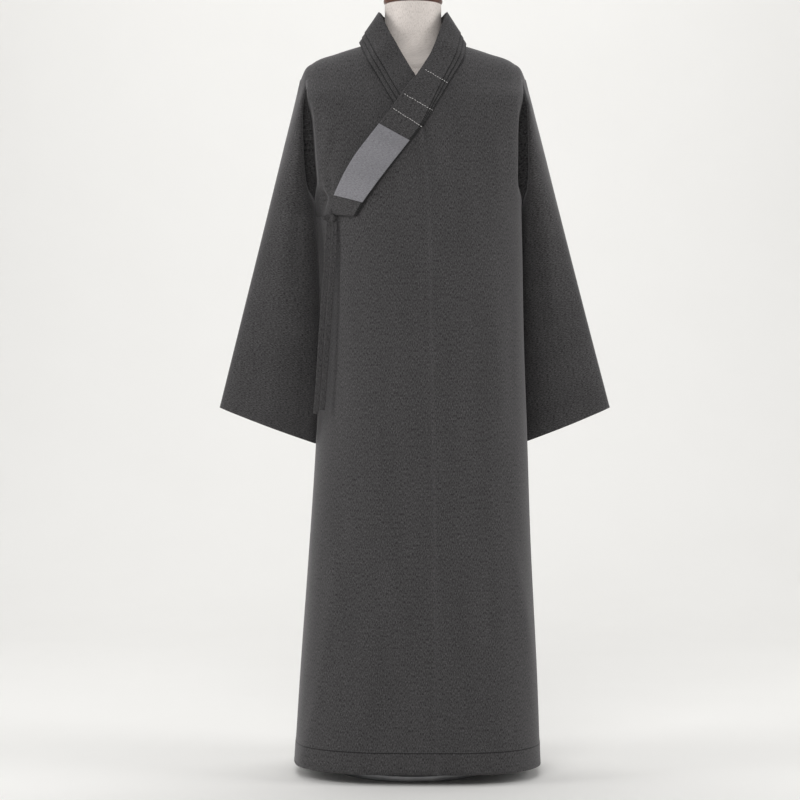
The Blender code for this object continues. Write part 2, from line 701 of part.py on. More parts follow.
def ties():
    """The knot at the right side, its two short straps and the two hanging ends."""
    grey = material("cloth_grey", CLOTH_GREY, 0.9)
    front = np.array([0.0, -1.0, 0.0])
    knot_x, knot_z = KNOT
    knot_y = chest_depth(knot_x + KNOT_SIZE[0], knot_z) - 0.0050 - KNOT_SIZE[1]
    mesh = bmesh.new()
    bmesh.ops.create_uvsphere(mesh, u_segments=10, v_segments=6, radius=1.0)
    for vert in mesh.verts:
        vert.co.x = vert.co.x * KNOT_SIZE[0] + knot_x
        vert.co.y = vert.co.y * KNOT_SIZE[1] + knot_y
        vert.co.z = vert.co.z * KNOT_SIZE[2] + knot_z
    place("tie_knot", mesh, grey)
    for name, rows in TIES.items():
        heights = np.linspace(rows["height"][0], rows["height"][-1], 12)
        path = []
        for z in heights:
            x = float(read(rows, "x", z))
            y = min(cloth_in_front(x + dx, z) for dx in (-0.006, 0.0, 0.006)) - TIE_CLEARANCE
            path.append([x, min(y, knot_y), z])
        path = np.array(path)
        for _ in range(3):
            path[1:-1, 1] = (path[:-2, 1] + path[1:-1, 1] * 2 + path[2:, 1]) / 4
        path[-1] = (path[-1, 0], knot_y, knot_z - KNOT_SIZE[2] - 0.0004)
        place(name, ribbon(path, TIE_WIDTH, TIE_THICKNESS, front), grey)


def form_line(x):
    """The form's shoulder line lies just under the gown's inner face."""
    return read(SHOULDER_LINE, "height", x) - CLOTH / 2 - LAYER_STEP * 0.2 - 0.0006


def dress_form():
    """A smooth torso with a neck, as one closed linen covered piece."""
    columns = np.sin(np.linspace(-1, 1, 25) * math.pi / 2)
    rise = np.array(SHOULDER_ROWS)
    tip_x, top = 0.184, 1.275
    rows = []
    for z in np.linspace(TORSO_BOTTOM, UNDERARM_HEIGHT, 6)[:-1]:
        rows.append((z, 0.0))
    for w in rise:
        rows.append((UNDERARM_HEIGHT + (top - UNDERARM_HEIGHT) * w, w ** 4))
    mesh = bmesh.new()
    sheets = {}
    for face, name in ((-1, "front"), (1, "back")):
        grid = []
        for z_row, lift in rows:
            half = float(read(TORSO, "half", z_row))
            line = []
            for c in columns:
                x = c * half
                z = z_row + lift * (float(form_line(abs(x))) - top)
                ridge = float(form_line(abs(x)))
                rounding = float(read(SHOULDER_ROUNDING, "drop", abs(x)))
                f = min(max((ridge - z) / rounding, 0.0), 1.0)
                depth = float(read(TORSO, name, z_row)) * (1 - abs(c) ** 2.3) ** (1 / 2.3)
                line.append((x, 0.005 + depth * math.sqrt(1 - (1 - f) ** 2), z))
            grid.append(line)
        sheets[face] = grid
    cache = {}

    def vertex(point):
        key = key_of(point)
        if key not in cache:
            cache[key] = mesh.verts.new(point)
        return cache[key]

    def face_of(points):
        corners = []
        for point in points:
            corner = vertex(point)
            if corner not in corners:
                corners.append(corner)
        if len(corners) > 2:
            mesh.faces.new(corners)

    for face, grid in sheets.items():
        for low, high in zip(grid, grid[1:]):
            for c in range(len(columns) - 1):
                corners = [low[c], low[c + 1], high[c + 1], high[c]]
                face_of(corners if face < 0 else corners[::-1])
    front, back = sheets[-1][0], sheets[1][0]
    for c in range(len(columns) - 1):
        face_of([front[c], back[c], back[c + 1], front[c + 1]])
    linen = material("linen", LINEN, 0.9)
    torso = place("form_torso", mesh, linen)
    neck = place("neck_shape", neck_mesh(), linen)
    neck.hide_render = True
    neck.display_type = "WIRE"
    cut(torso, neck, "UNION")


def oval(height, half_width, front, back, count=20):
    middle = (front + back) / 2
    half = (back - front) / 2
    return [(half_width * math.cos(a), middle + half * math.sin(a), height)
            for a in np.linspace(0, 2 * math.pi, count, endpoint=False)]


def loft(rings):
    """A closed body through rings of points with the same count."""
    mesh = bmesh.new()
    rows = [[mesh.verts.new(point) for point in ring] for ring in rings]
    for low, high in zip(rows, rows[1:]):
        for i in range(len(low)):
            j = (i + 1) % len(low)
            mesh.faces.new([low[i], low[j], high[j], high[i]])
    mesh.faces.new(rows[0][::-1])
    mesh.faces.new(rows[-1])
    return mesh


def neck_mesh():
    heights = np.linspace(FORM_NECK["height"][0], FORM_NECK["height"][-1], 12)
    return loft([oval(z, float(read(FORM_NECK, "half_width", z)), float(read(FORM_NECK, "front", z)),
                      float(read(FORM_NECK, "back", z))) for z in heights])


def turned(name, profile, centre_y, finish, count=28):
    """A turned solid from (radius, height) pairs, bottom to top."""
    rings = [[(r * math.cos(a), centre_y + r * math.sin(a), z)
              for a in np.linspace(0, 2 * math.pi, count, endpoint=False)] for r, z in profile]
    return place(name, loft(rings), finish)


def stand():
    """Neck cap, pole and base, all plain turned pieces."""
    wood = material("dark_wood", WOOD, 0.4)
    steel = material("brushed_steel", STEEL, 0.35, 1.0)
    top = float(FORM_NECK["height"][-1])
    rings = []
    for grow, rise in ((-0.004, 0.0004), (0.0015, 0.002), (0.0025, 0.006), (0.0015, 0.011),
                       (-0.008, 0.016), (-0.022, 0.021)):
        rings.append(oval(top + rise, NECK_HALF_WIDTH + grow, -0.056 - grow, 0.032 + grow))
    place("neck_cap", loft(rings), wood)
    turned("stand_pole", ((POLE_RADIUS, BASE_THICKNESS + 0.0183),
                          (POLE_RADIUS, TORSO_BOTTOM - 0.0003)), 0.0, steel)
    turned("stand_base", ((BASE_RADIUS - 0.001, 0.0), (BASE_RADIUS, 0.001),
                          (BASE_RADIUS, BASE_THICKNESS - 0.003),
                          (BASE_RADIUS - 0.003, BASE_THICKNESS),
                          (0.034, BASE_THICKNESS + 0.002), (0.026, BASE_THICKNESS + 0.006),
                          (0.024, BASE_THICKNESS + 0.018)), 0.0, steel, 40)


def main():
    for thing in list(bpy.data.objects):
        bpy.data.objects.remove(thing, do_unlink=True)
    gown()
    collar()
    ties()
    dress_form()
    stand()


main()
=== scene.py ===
"""Looks of the long cross-collared monk's gown on its limbless dress form.

Metres, +Z up, +X to the wearer's left, -Y to the front, as in the part's source. Each cloth
piece is a thin shell on the solid's own form, finer, with creases placed one by one, and each
surface is a numpy grid whose formula its function gives in words.
"""
import math

import bmesh
import bpy
import numpy as np
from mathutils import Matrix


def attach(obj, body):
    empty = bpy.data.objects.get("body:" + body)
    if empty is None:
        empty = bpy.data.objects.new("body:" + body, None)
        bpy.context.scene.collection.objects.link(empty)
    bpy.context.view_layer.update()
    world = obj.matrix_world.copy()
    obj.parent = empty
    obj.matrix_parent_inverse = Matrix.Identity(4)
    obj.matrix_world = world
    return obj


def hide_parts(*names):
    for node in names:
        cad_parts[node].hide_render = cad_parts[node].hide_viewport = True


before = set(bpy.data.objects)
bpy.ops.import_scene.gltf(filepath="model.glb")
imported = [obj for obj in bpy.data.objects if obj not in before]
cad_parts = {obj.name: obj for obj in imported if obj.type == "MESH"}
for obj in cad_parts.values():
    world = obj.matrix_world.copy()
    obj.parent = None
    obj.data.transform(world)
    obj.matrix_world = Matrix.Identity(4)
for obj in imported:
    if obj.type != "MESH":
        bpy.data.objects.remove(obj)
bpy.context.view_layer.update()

# Sizes shared with the solids
HEM_HEIGHT = 0.020
GOWN_LENGTH = 1.3140
SHOULDER_HALF, SHOULDER_HEIGHT = 0.207, 1.2725
UNDERARM_HEIGHT = 1.030
CUFF_INNER_HEIGHT, CUFF_OUTER_HEIGHT = 0.600, 0.666
CLOTH = 0.0020
LAYER_STEP = 0.0025
FADE_LOW, FADE_HIGH = 1.215, 1.265
RIDGE_POINT, SLEEVE_RIDGE = 0.172, 0.176
HALF_NECKLINE = 0.078
BACK_NECK = (1.345, 0.028)
SHOULDER_ROWS = (0.0, 0.14, 0.28, 0.42, 0.56, 0.68, 0.78, 0.86, 0.93, 0.975, 1.0)
COLLAR_SHEET, COLLAR_GAP, COLLAR_LIFT = 0.0010, 0.0003, 0.0020
CROSSING_LIFT = 0.0058
COLLAR_END = 18.5
COLLAR_STATIONS = 50
PATCH_SPAN = (2, 8)
PATCH_THICKNESS = 0.0010
NECK_HALF_WIDTH, NECK_FRONT, NECK_BACK = 0.0520, -0.056, 0.032
POLE_RADIUS, BASE_RADIUS, BASE_THICKNESS = 0.016, 0.142, 0.012
TORSO_BOTTOM = 0.700
KNOT = (-0.1510, 1.0095)
KNOT_SIZE = (0.0098, 0.0060, 0.0055)
TIE_CLEARANCE = 0.0062

UNDERLAP_SHARE = 5 / 9        # how far the underlap reaches from the centre to the side
HEM_TURN = 0.038              # the hem's stitch line above the hem
SLEEVE_LEAN = math.radians(14.8)

# How finely the cloth is divided
BODY_FINE = 45
SLEEVE_FINE = 26
ROWS_TO_SHOULDER = 61
ROWS_DOWN_SLEEVE = 56
ROWS_ALONG_COLLAR = 420
ROWS_ALONG_PATCH = 90
SKIRT_STEP = 0.0085
ROWS_ALONG_TIE = 70
ROUND = 96                    # corners of a turned or oval ring
CORNER_POINTS = 5             # points of a rounded corner
HEM_ROWS = np.array([0.004, 0.002, 0.0, -0.002])   # finer rows about the hem's stitch line

# Where the pieces lie in the flat pattern, in metres, so that no two share threads
BACK_PATTERN = 1.4
SLEEVE_PATTERN = (3.0, 0.8)
SLEEVE_FRONT_PATTERN, SLEEVE_BACK_PATTERN = 2.0, 4.0
COLLAR_PATTERN = (6.0, 2.0)
# a stitched line 0.9 mm in from each collar band's edge, with painted shade along the band's edge
COLLAR_STITCH_LINE = COLLAR_PATTERN[1] + 0.0009

# The photo's view: so many metres a pixel at the garment's middle
PIXEL, PICTURE_WIDTH = 0.00185, 800
CAMERA_PLACE = (-0.02405, -3.6, 0.680)
SENSOR_MM = 36.0


def table(names, *rows):
    """A table as a dictionary from column name to its values; the first column is the key."""
    return dict(zip(names.split(), np.array(rows, float).T))


def read(rows, name, where):
    """A table's column at any value of its first column: a smooth curve through the rows."""
    key = next(iter(rows.values()))
    value = rows[name]
    slope = np.gradient(value, key)
    at = np.clip(where, key[0], key[-1])
    low = np.clip(np.searchsorted(key, at, side="right") - 1, 0, len(key) - 2)
    step = key[low + 1] - key[low]
    f = (at - key[low]) / step
    return (value[low] * (1 + 2 * f) * (1 - f) ** 2 + value[low + 1] * f * f * (3 - 2 * f)
            + step * (slope[low] * f * (1 - f) ** 2 - slope[low + 1] * f * f * (1 - f)))


BODY = table(
    "height front back square_front square_back",
    (0.020, -0.180, 0.165, 3.0, 2.5),
    (0.300, -0.166, 0.146, 2.7, 2.4),
    (0.600, -0.150, 0.126, 2.4, 2.3),
    (0.800, -0.141, 0.114, 2.3, 2.3),
    (0.950, -0.132, 0.106, 2.3, 2.3),
    (1.050, -0.124, 0.105, 2.4, 2.4),
    (1.150, -0.118, 0.108, 2.5, 2.5),
    (1.235, -0.112, 0.102, 2.5, 2.5),
    (1.340, -0.105, 0.090, 2.5, 2.5))
SIDE = {
    +1: table(
        "height x front back",
        (0.020, 0.2320, 0.000, 0.000),
        (0.160, 0.2275, 0.000, 0.000),
        (0.430, 0.2150, -0.004, -0.004),
        (0.610, 0.2090, -0.012, -0.012),
        (0.790, 0.2025, -0.020, -0.020),
        (0.960, 0.1995, -0.020, -0.020),
        (1.030, 0.1990, -0.004, -0.004),
        (1.080, 0.1990, -0.022, 0.028),
        (1.150, 0.1995, -0.038, 0.048),
        (1.235, 0.1990, -0.052, 0.055),
        (1.275, 0.1920, -0.056, 0.058)),
    -1: table(
        "height x front back",
        (0.020, 0.2145, 0.000, 0.000),
        (0.210, 0.2025, 0.005, 0.005),
        (0.385, 0.1905, 0.020, 0.020),
        (0.535, 0.1810, 0.036, 0.036),
        (0.600, 0.1775, 0.044, 0.044),
        (0.700, 0.1740, 0.050, 0.050),
        (0.900, 0.1745, 0.050, 0.050),
        (0.960, 0.1765, 0.050, 0.050),
        (1.000, 0.1785, 0.042, 0.042),
        (1.030, 0.1802, 0.026, 0.026),
        (1.080, 0.1840, -0.014, 0.034),
        (1.150, 0.1890, -0.036, 0.050),
        (1.235, 0.1925, -0.052, 0.055),
        (1.275, 0.1880, -0.056, 0.058))}
SLEEVE = {
    +1: table(
        "height in_x front back out_x fold swell_front swell_back",
        (0.600, 0.2055, 0.050, 0.050, 0.3847, 0.040, 0.026, 0.026),
        (0.700, 0.1990, 0.050, 0.050, 0.3583, 0.038, 0.030, 0.029),
        (0.800, 0.1950, 0.047, 0.047, 0.3318, 0.035, 0.034, 0.032),
        (0.900, 0.1935, 0.041, 0.041, 0.3054, 0.030, 0.038, 0.036),
        (0.970, 0.1960, 0.031, 0.031, 0.2869, 0.026, 0.041, 0.040),
        (1.000, 0.1992, 0.022, 0.022, 0.2790, 0.024, 0.043, 0.042),
        (1.030, 0.2024, 0.011, 0.011, 0.2711, 0.022, 0.044, 0.043),
        (1.080, 0.2065, -0.018, 0.030, 0.2579, 0.018, 0.045, 0.044),
        (1.150, 0.2070, -0.036, 0.050, 0.2394, 0.012, 0.044, 0.042),
        (1.235, 0.2040, -0.050, 0.056, 0.2169, 0.006, 0.034, 0.034),
        (1.275, 0.1970, -0.055, 0.058, 0.2075, 0.005, 0.024, 0.024)),
    -1: table(
        "height in_x front back out_x fold swell_front swell_back",
        (0.600, 0.1800, -0.014, -0.014, 0.3722, -0.010, 0.026, 0.026),
        (0.700, 0.1745, -0.015, -0.015, 0.3476, -0.008, 0.030, 0.030),
        (0.800, 0.1725, -0.015, -0.015, 0.3230, -0.006, 0.034, 0.034),
        (0.900, 0.1735, -0.017, -0.017, 0.2985, -0.002, 0.038, 0.038),
        (0.960, 0.1755, -0.018, -0.018, 0.2837, 0.000, 0.040, 0.040),
        (1.000, 0.1786, -0.018, -0.018, 0.2739, 0.002, 0.042, 0.042),
        (1.030, 0.1806, -0.012, -0.012, 0.2666, 0.003, 0.043, 0.043),
        (1.080, 0.1915, -0.022, 0.030, 0.2543, 0.004, 0.044, 0.044),
        (1.150, 0.1970, -0.040, 0.048, 0.2371, 0.004, 0.043, 0.043),
        (1.235, 0.1975, -0.052, 0.054, 0.2162, 0.005, 0.034, 0.034),
        (1.275, 0.1930, -0.056, 0.058, 0.2075, 0.005, 0.024, 0.024))}
SHOULDER_LINE = table(
    "x height",
    (0.000, 1.3520), (0.094, HEM_HEIGHT + GOWN_LENGTH), (0.140, 1.3195), (0.185, 1.3020),
    (0.199, 1.2905), (0.207, SHOULDER_HEIGHT))
CENTRE_FRONT = table("height x", (0.02, 0.041), (0.80, 0.031), (1.15, 0.019), (1.26, 0.006),
                     (1.34, 0.0))
SHOULDER_ROUNDING = table("x drop", (0.0, 0.190), (0.09, 0.190), (0.15, 0.130), (0.207, 0.075))
COLLAR_UPPER = table(
    "station sewn_x sewn_z free_x free_z",
    (0, -0.0992, 1.0105, -0.1493, 1.0171),
    (1, -0.0797, 1.0420, -0.1332, 1.0629),
    (2, -0.0437, 1.0922, -0.1045, 1.1164),
    (3, -0.0056, 1.1416, -0.0616, 1.1727),
    (4, 0.0171, 1.1703, -0.0357, 1.2061),
    (5, 0.0377, 1.2038, -0.0133, 1.2370),
    (6, 0.0574, 1.2376, 0.0056, 1.2623),
    (7, 0.0777, 1.2735, 0.0255, 1.2960))
COLLAR_NECK = table(
    "station sewn_x sewn_y sewn_z free_x free_y free_z",
    (8, 0.0942, -0.0500, 1.3103, 0.0442, -0.0600, 1.3430),
    (9, 0.0975, -0.0150, 1.3360, 0.0580, -0.0330, 1.3850),
    (10, 0.0930, 0.0170, 1.3370, 0.0590, 0.0040, 1.3960),
    (11, 0.0700, 0.0430, 1.3260, 0.0470, 0.0370, 1.3920),
    (12, 0.0000, 0.0615, 1.3120, 0.0000, 0.0500, 1.3800),
    (13, -0.0700, 0.0430, 1.3260, -0.0470, 0.0370, 1.3920),
    (14, -0.0930, 0.0170, 1.3370, -0.0590, 0.0040, 1.3960),
    (15, -0.0985, -0.0160, 1.3365, -0.0580, -0.0330, 1.3850),
    (16, -0.0835, -0.0640, 1.2985, -0.0404, -0.0580, 1.3458))
COLLAR_LOWER = table(
    "station sewn_x sewn_z free_x free_z",
    (17, -0.0601, 1.2554, -0.0186, 1.3032),
    (18, -0.0370, 1.2130, 0.0045, 1.2616),
    (18.5, -0.0300, 1.2000, 0.0115, 1.2480))
COLLAR_STEPS = table(
    "station middle top",
    (0, 0.03, 0.06), (4, 0.03, 0.06), (6, 0.10, 0.20), (8, 0.14, 0.28), (18.5, 0.14, 0.28))
TIES = {
    "tie_end_outer": table("height x", (0.655, -0.1765), (0.780, -0.1670), (0.895, -0.1590),
                           (1.003, -0.1530)),
    "tie_end_inner": table("height x", (0.662, -0.1652), (0.780, -0.1557), (0.895, -0.1477),
                           (1.003, -0.1415))}
TORSO = table(
    "height half front back",
    (0.700, 0.158, -0.104, 0.104),
    (0.800, 0.152, -0.100, 0.096),
    (0.900, 0.146, -0.098, 0.088),
    (1.000, 0.149, -0.103, 0.090),
    (1.100, 0.158, -0.106, 0.096),
    (1.180, 0.168, -0.102, 0.097),
    (1.240, 0.178, -0.094, 0.090),
    (1.275, 0.184, -0.088, 0.082))
FORM_NECK = table(
    "height half_width front back",
    (1.262, 0.096, -0.062, 0.056),
    (1.290, 0.084, -0.066, 0.060),
    (1.315, 0.066, -0.054, 0.049),
    (1.340, 0.056, -0.050, 0.040),
    (1.370, 0.0525, -0.052, 0.036),
    (1.408, NECK_HALF_WIDTH, NECK_FRONT, NECK_BACK))

# Creases on the body: where each starts and ends, how far its middle bows sideways, its half
# width and its height over the cloth, a trough where that is below nought. Side and face say
# which quarter it lies on, +1 the wearer's left and the back. Everything is in millimetres.
BODY_CREASES = table(
    "side face from_x from_z to_x to_z bow width height",
    # corners of the skirt's flat front
    (-1, -1, 128, 430, 190, 70, 6, 13, 2.6),
    (+1, -1, 158, 500, 226, 60, -7, 12, 3.0),
    (-1, -1, 150, 300, 204, 40, 4, 10, -1.2),
    (+1, -1, 186, 330, 229, 40, -3, 9, -1.2),
    # long quiet falls of the front
    (-1, -1, 70, 840, 84, 30, 5, 26, 1.1),
    (-1, -1, 104, 620, 122, 30, -4, 18, -1.2),
    (-1, -1, 30, 720, 40, 60, -3, 22, -0.9),
    (+1, -1, 70, 900, 92, 30, -5, 24, 1.2),
    (+1, -1, 108, 760, 134, 30, 5, 20, -1.3),
    (+1, -1, 145, 960, 166, 560, 4, 14, 1.2),
    (+1, -1, 172, 940, 176, 640, -2, 9, -1.1),
    (+1, -1, 42, 460, 56, 30, 3, 16, -0.9),
    # the chest, drawn from the shoulders to the wrap
    (+1, -1, 176, 1215, 184, 1010, 3, 10, 1.8),
    (+1, -1, 160, 1200, 172, 1040, -4, 12, -1.3),
    (+1, -1, 120, 1170, 150, 960, 6, 22, 0.9),
    (-1, -1, 148, 1225, 172, 1075, 5, 11, 2.4),
    (-1, -1, 130, 1180, 158, 1060, -4, 9, -1.6),
    # pulled together above the knot
    (-1, -1, 163, 1105, 156, 1036, 3, 6, 2.8),
    (-1, -1, 152, 1096, 151, 1030, 2, 5, -3.2),
    (-1, -1, 172, 1080, 163, 1034, -2, 5, -2.4),
    (-1, -1, 170, 1078, 162, 1000, 4, 5.5, -8.0),
    (-1, -1, 160, 1068, 156, 1010, 1, 5.0, -5.0),
    # below the knot
    (-1, -1, 150, 995, 146, 800, 3, 9, -1.3),
    (-1, -1, 122, 1000, 112, 780, -5, 15, 1.0),
    # the back: hollow at the middle, falls from the shoulder blades
    (+1, +1, 24, 1230, 30, 700, 4, 18, -1.6),
    (-1, +1, 20, 1210, 27, 640, -5, 20, -1.4),
    (+1, +1, 78, 1180, 96, 200, 8, 24, 2.2),
    (-1, +1, 84, 1150, 92, 260, -7, 26, 2.0),
    (+1, +1, 126, 1090, 150, 120, -6, 18, -2.2),
    (-1, +1, 118, 1120, 136, 80, 7, 20, -2.4),
    (+1, +1, 158, 960, 186, 60, 5, 14, 2.4),
    (-1, +1, 150, 900, 172, 60, -5, 13, 2.2),
    (+1, +1, 52, 700, 66, 30, -5, 16, -1.8),
    (-1, +1, 48, 620, 54, 30, 4, 15, -1.6),
    (+1, +1, 172, 1190, 160, 1040, 4, 10, -2.2),
    (-1, +1, 168, 1195, 152, 1050, -4, 11, -2.0),
    (+1, +1, 180, 1150, 176, 980, 2, 8, 1.8),
    (-1, +1, 172, 1140, 166, 970, 3, 8, 1.6))
# The same on the sleeves
SLEEVE_CREASES = table(
    "side face from_x from_z to_x to_z bow width height",
    (-1, -1, 214, 1190, 262, 760, 5, 14, 1.5),
    (-1, -1, 205, 1110, 214, 860, -3, 10, -1.9),
    (-1, -1, 246, 1010, 318, 660, 7, 20, -1.3),
    (-1, -1, 232, 820, 262, 610, -4, 15, 1.4),
    (-1, -1, 196, 800, 206, 605, 2, 9, -1.5),
    (-1, -1, 290, 800, 338, 640, 4, 14, 1.0),
    (+1, -1, 222, 1180, 268, 740, -5, 13, 1.6),
    (+1, -1, 216, 1080, 228, 850, 4, 9, -2.0),
    (+1, -1, 252, 980, 330, 650, -6, 19, -1.4),
    (+1, -1, 240, 840, 276, 612, 5, 15, 1.3),
    (+1, -1, 218, 790, 226, 608, -2, 9, -1.4),
    (+1, -1, 300, 790, 346, 650, -4, 13, 1.1),
    (-1, +1, 216, 1200, 240, 900, -4, 13, 2.0),
    (-1, +1, 208, 1060, 226, 700, 5, 12, -2.4),
    (-1, +1, 250, 960, 300, 640, -6, 17, 2.0),
    (-1, +1, 276, 860, 336, 650, 5, 14, -1.8),
    (-1, +1, 226, 760, 244, 606, -3, 11, 1.7),
    (+1, +1, 224, 1190, 254, 880, 4, 14, 2.1),
    (+1, +1, 218, 1040, 240, 720, -5, 12, -2.3),
    (+1, +1, 258, 970, 318, 640, 6, 18, 1.9),
    (+1, +1, 290, 850, 348, 652, -4, 13, -1.9),
    (+1, +1, 240, 740, 262, 608, 3, 11, 1.6))


def smooth(value, low, high):
    """0 below low, 1 above high, with a smooth rise between."""
    f = np.clip((value - low) / (high - low), 0.0, 1.0)
    return f * f * (3 - 2 * f)


def middle_line(rows):
    """The collar's middle line on the chest, as pairs of X and Z."""
    return [((a + c) / 2, (b + d) / 2) for a, b, c, d in zip(
        rows["sewn_x"], rows["sewn_z"], rows["free_x"], rows["free_z"])]


COLLAR_MIDDLE = np.array(middle_line(COLLAR_UPPER) + middle_line(COLLAR_LOWER))


# Depth of the cloth, the same formulas as the solids'
def over_shoulder(x, z):
    """How far the cloth has come forward at a point below the shoulder line, 0 to 1."""
    drop = read(SHOULDER_LINE, "height", x) - z
    f = np.clip(drop / read(SHOULDER_ROUNDING, "drop", x), 0.0, 1.0)
    return np.sqrt(np.maximum(1 - (1 - f) ** 2, 0.0))


def plain_depth(side, face, x, z):
    """The section without an armhole fold: one round arc from the centre to the outer fold."""
    name = "front" if face < 0 else "back"
    fold = read(SLEEVE[side], "fold", z)
    share = np.clip(np.abs(x) / read(SLEEVE[side], "out_x", z), 0.0, 1.0)
    return fold + (read(BODY, name, z) - fold) * (1 - share ** 2.4) ** (1 / 2.4)


def finish_depth(side, face, x, z, creased):
    """Fades the armhole fold out towards the shoulder and rounds the section over it."""
    fold = read(SLEEVE[side], "fold", z)
    creasing = 1 - smooth(z, FADE_LOW, FADE_HIGH)
    section = creased * creasing + plain_depth(side, face, x, z) * (1 - creasing)
    return fold + (section - fold) * over_shoulder(np.abs(x), z)


def body_depth(side, face, share, x, z):
    """Depth of the body where share runs from 0 at the centre to 1 at the side."""
    name = "front" if face < 0 else "back"
    square = read(BODY, "square_" + name, z)
    arc = np.maximum(1 - np.clip(share, 0, 1) ** square, 0.0) ** (1 / square)
    edge = read(SIDE[side], name, z)
    return finish_depth(side, face, x, z, edge + (read(BODY, name, z) - edge) * arc)


def sleeve_depth(side, face, share, x, z):
    """Depth of the sleeve where share runs from 0 at its inner edge to 1 at its outer fold."""
    name = "front" if face < 0 else "back"
    line = read(SLEEVE[side], name, z) * (1 - share) + read(SLEEVE[side], "fold", z) * share
    swell = face * read(SLEEVE[side], "swell_" + name, z)
    arc = np.sqrt(np.maximum(1 - (2 * share - 1) ** 2, 0.0))
    return finish_depth(side, face, x, z, line + swell * arc)


def layer_share(share, z):
    """The share that sets a layer's level: near the shoulder all layers come together."""
    return share + (1 - share) * smooth(z, 1.24, 1.325)


def centre_line(side, face, z):
    """Where a half starts: the centre-front seam lies off the middle, the back seam on it."""
    return side * read(CENTRE_FRONT, "x", z) if face < 0 else 0.0 * z


def flat_level(share):
    """A panel with no layer over or under it."""
    return 0.0 * share


def under_level(share):
    """The front that runs under the wrap: a layer down at the centre, none at the side."""
    return -LAYER_STEP * (1 - smooth(share, 0.0, 1.0))


def over_level(share):
    """The wrap over it: level at the centre-front seam, a layer up at the side."""
    return LAYER_STEP * smooth(share, 0.0, 1.0)


def underlap_level(share):
    """The hidden lap: a layer down all over."""
    return -LAYER_STEP + 0.0 * share


# Creases
def crease(x, z, row):
    """A trough or ridge: a bell curve across its line, which bows by a parabola, times a
    window that swells from nought at its start to full and back to nought at its end. One
    that reaches the hem or the cuff stays full there."""
    start = np.array([row["from_x"], row["from_z"]]) / 1000
    end = np.array([row["to_x"], row["to_z"]]) / 1000
    length = np.linalg.norm(end - start)
    along_x, along_z = (end - start) / length
    along = ((x - start[0]) * along_x + (z - start[1]) * along_z) / length
    across = (x - start[0]) * along_z - (z - start[1]) * along_x
    across = across - row["bow"] / 1000 * 4 * along * (1 - along)
    open_ended = row["to_z"] < 90 or (row["to_z"] < 700 and row["to_x"] > 190)
    window = smooth(along, 0.0, 0.45) * (1.0 if open_ended else 1 - smooth(along, 0.6, 1.0))
    return row["height"] / 1000 * window * np.exp(-(across / (row["width"] / 1000)) ** 2)


def relief(side, face, x, z, rows):
    """All the creases of one quarter, and a slow unevenness of the cloth between them."""
    total = 0.00035 * (np.sin(31 * x + 9.1 * z + 2.0 * side) * np.sin(13 * z - 17 * x + face)
                       + 0.6 * np.sin(57 * x - 6 * z + face) * np.sin(22 * z + side))
    for i in range(len(rows["side"])):
        if rows["side"][i] == side and rows["face"][i] == face:
            total = total + crease(x, z, {name: values[i] for name, values in rows.items()})
    return total


def clear_of_collar(x, z):
    """0 under the collar, where creases would touch it, rising to 1 beside it."""
    t = np.linspace(0, 1, 9)[:, None, None]
    line = (COLLAR_MIDDLE[:-1] * (1 - t) + COLLAR_MIDDLE[1:] * t).reshape(-1, 2)
    away = np.full(np.shape(x), 1.0)
    for point in line:
        away = np.minimum(away, np.hypot(x - point[0], z - point[1]))
    return smooth(away, 0.034, 0.050)


# Meshes
def quads_of(number, outwards=1):
    """The quads of a grid of corner numbers, a row each, turned over where outwards is -1."""
    corners = [number[:-1, :-1], number[:-1, 1:], number[1:, 1:], number[1:, :-1]]
    return np.stack([corner.ravel() for corner in corners[::outwards]], axis=1)


def numbered(shape):
    """Running numbers in the rows and columns of a grid."""
    return np.arange(shape[0] * shape[1]).reshape(shape[:2])


def merged_mesh(name, grids):
    """A mesh of several grids welded where their edges meet. Each grid gives its points, its
    flat pattern coordinates, its height over its own surface and which way it faces."""
    points, heights, faces, flats, first = [], [], [], [], 0
    for grid in grids:
        quads = quads_of(numbered(grid["points"].shape), grid["outwards"]) + first
        flat = grid["flat"].reshape(-1, 2)[quads - first]
        if "strip" in grid:   # the fold between body and sleeve keeps the body's pattern
            column = (quads - first) % grid["points"].shape[1]
            in_strip = column.min(axis=1) == grid["strip"]
            inner = column == grid["strip"]
            height = grid["points"].reshape(-1, 3)[quads - first][:, :, 2]
            base = np.where(inner, flat[:, :, 0], -1e9).max(axis=1)
            flat[in_strip, :, 0] = (base[:, None] + np.where(inner, 0.0, 0.006))[in_strip]
            flat[in_strip, :, 1] = height[in_strip]
        points.append(grid["points"].reshape(-1, 3))
        heights.append(grid["height"].ravel())
        faces.append(quads)
        flats.append(flat.reshape(-1, 2))
        first += grid["height"].size
    data = bpy.data.meshes.new(name)
    data.from_pydata(np.concatenate(points), [], np.concatenate(faces).tolist())
    layer = data.uv_layers.new(name="flat_pattern")
    layer.data.foreach_set("uv", np.concatenate(flats).ravel())
    over = data.attributes.new("over", "FLOAT", "POINT")
    over.data.foreach_set("value", np.concatenate(heights))
    work = bmesh.new()
    work.from_mesh(data)
    bmesh.ops.remove_doubles(work, verts=work.verts, dist=2e-5)
    bmesh.ops.dissolve_degenerate(work, edges=work.edges, dist=1e-6)
    work.to_mesh(data)
    work.free()
    count = len(data.vertices)
    place, normal, over = np.empty(count * 3), np.empty(count * 3), np.empty(count)
    data.vertices.foreach_get("co", place)
    data.vertex_normals.foreach_get("vector", normal)
    data.attributes["over"].data.foreach_get("value", over)
    place = place.reshape(-1, 3) + normal.reshape(-1, 3) * over[:, None]
    data.vertices.foreach_set("co", place.ravel())
    data.attributes.remove(data.attributes["over"])
    data.update()
    return data


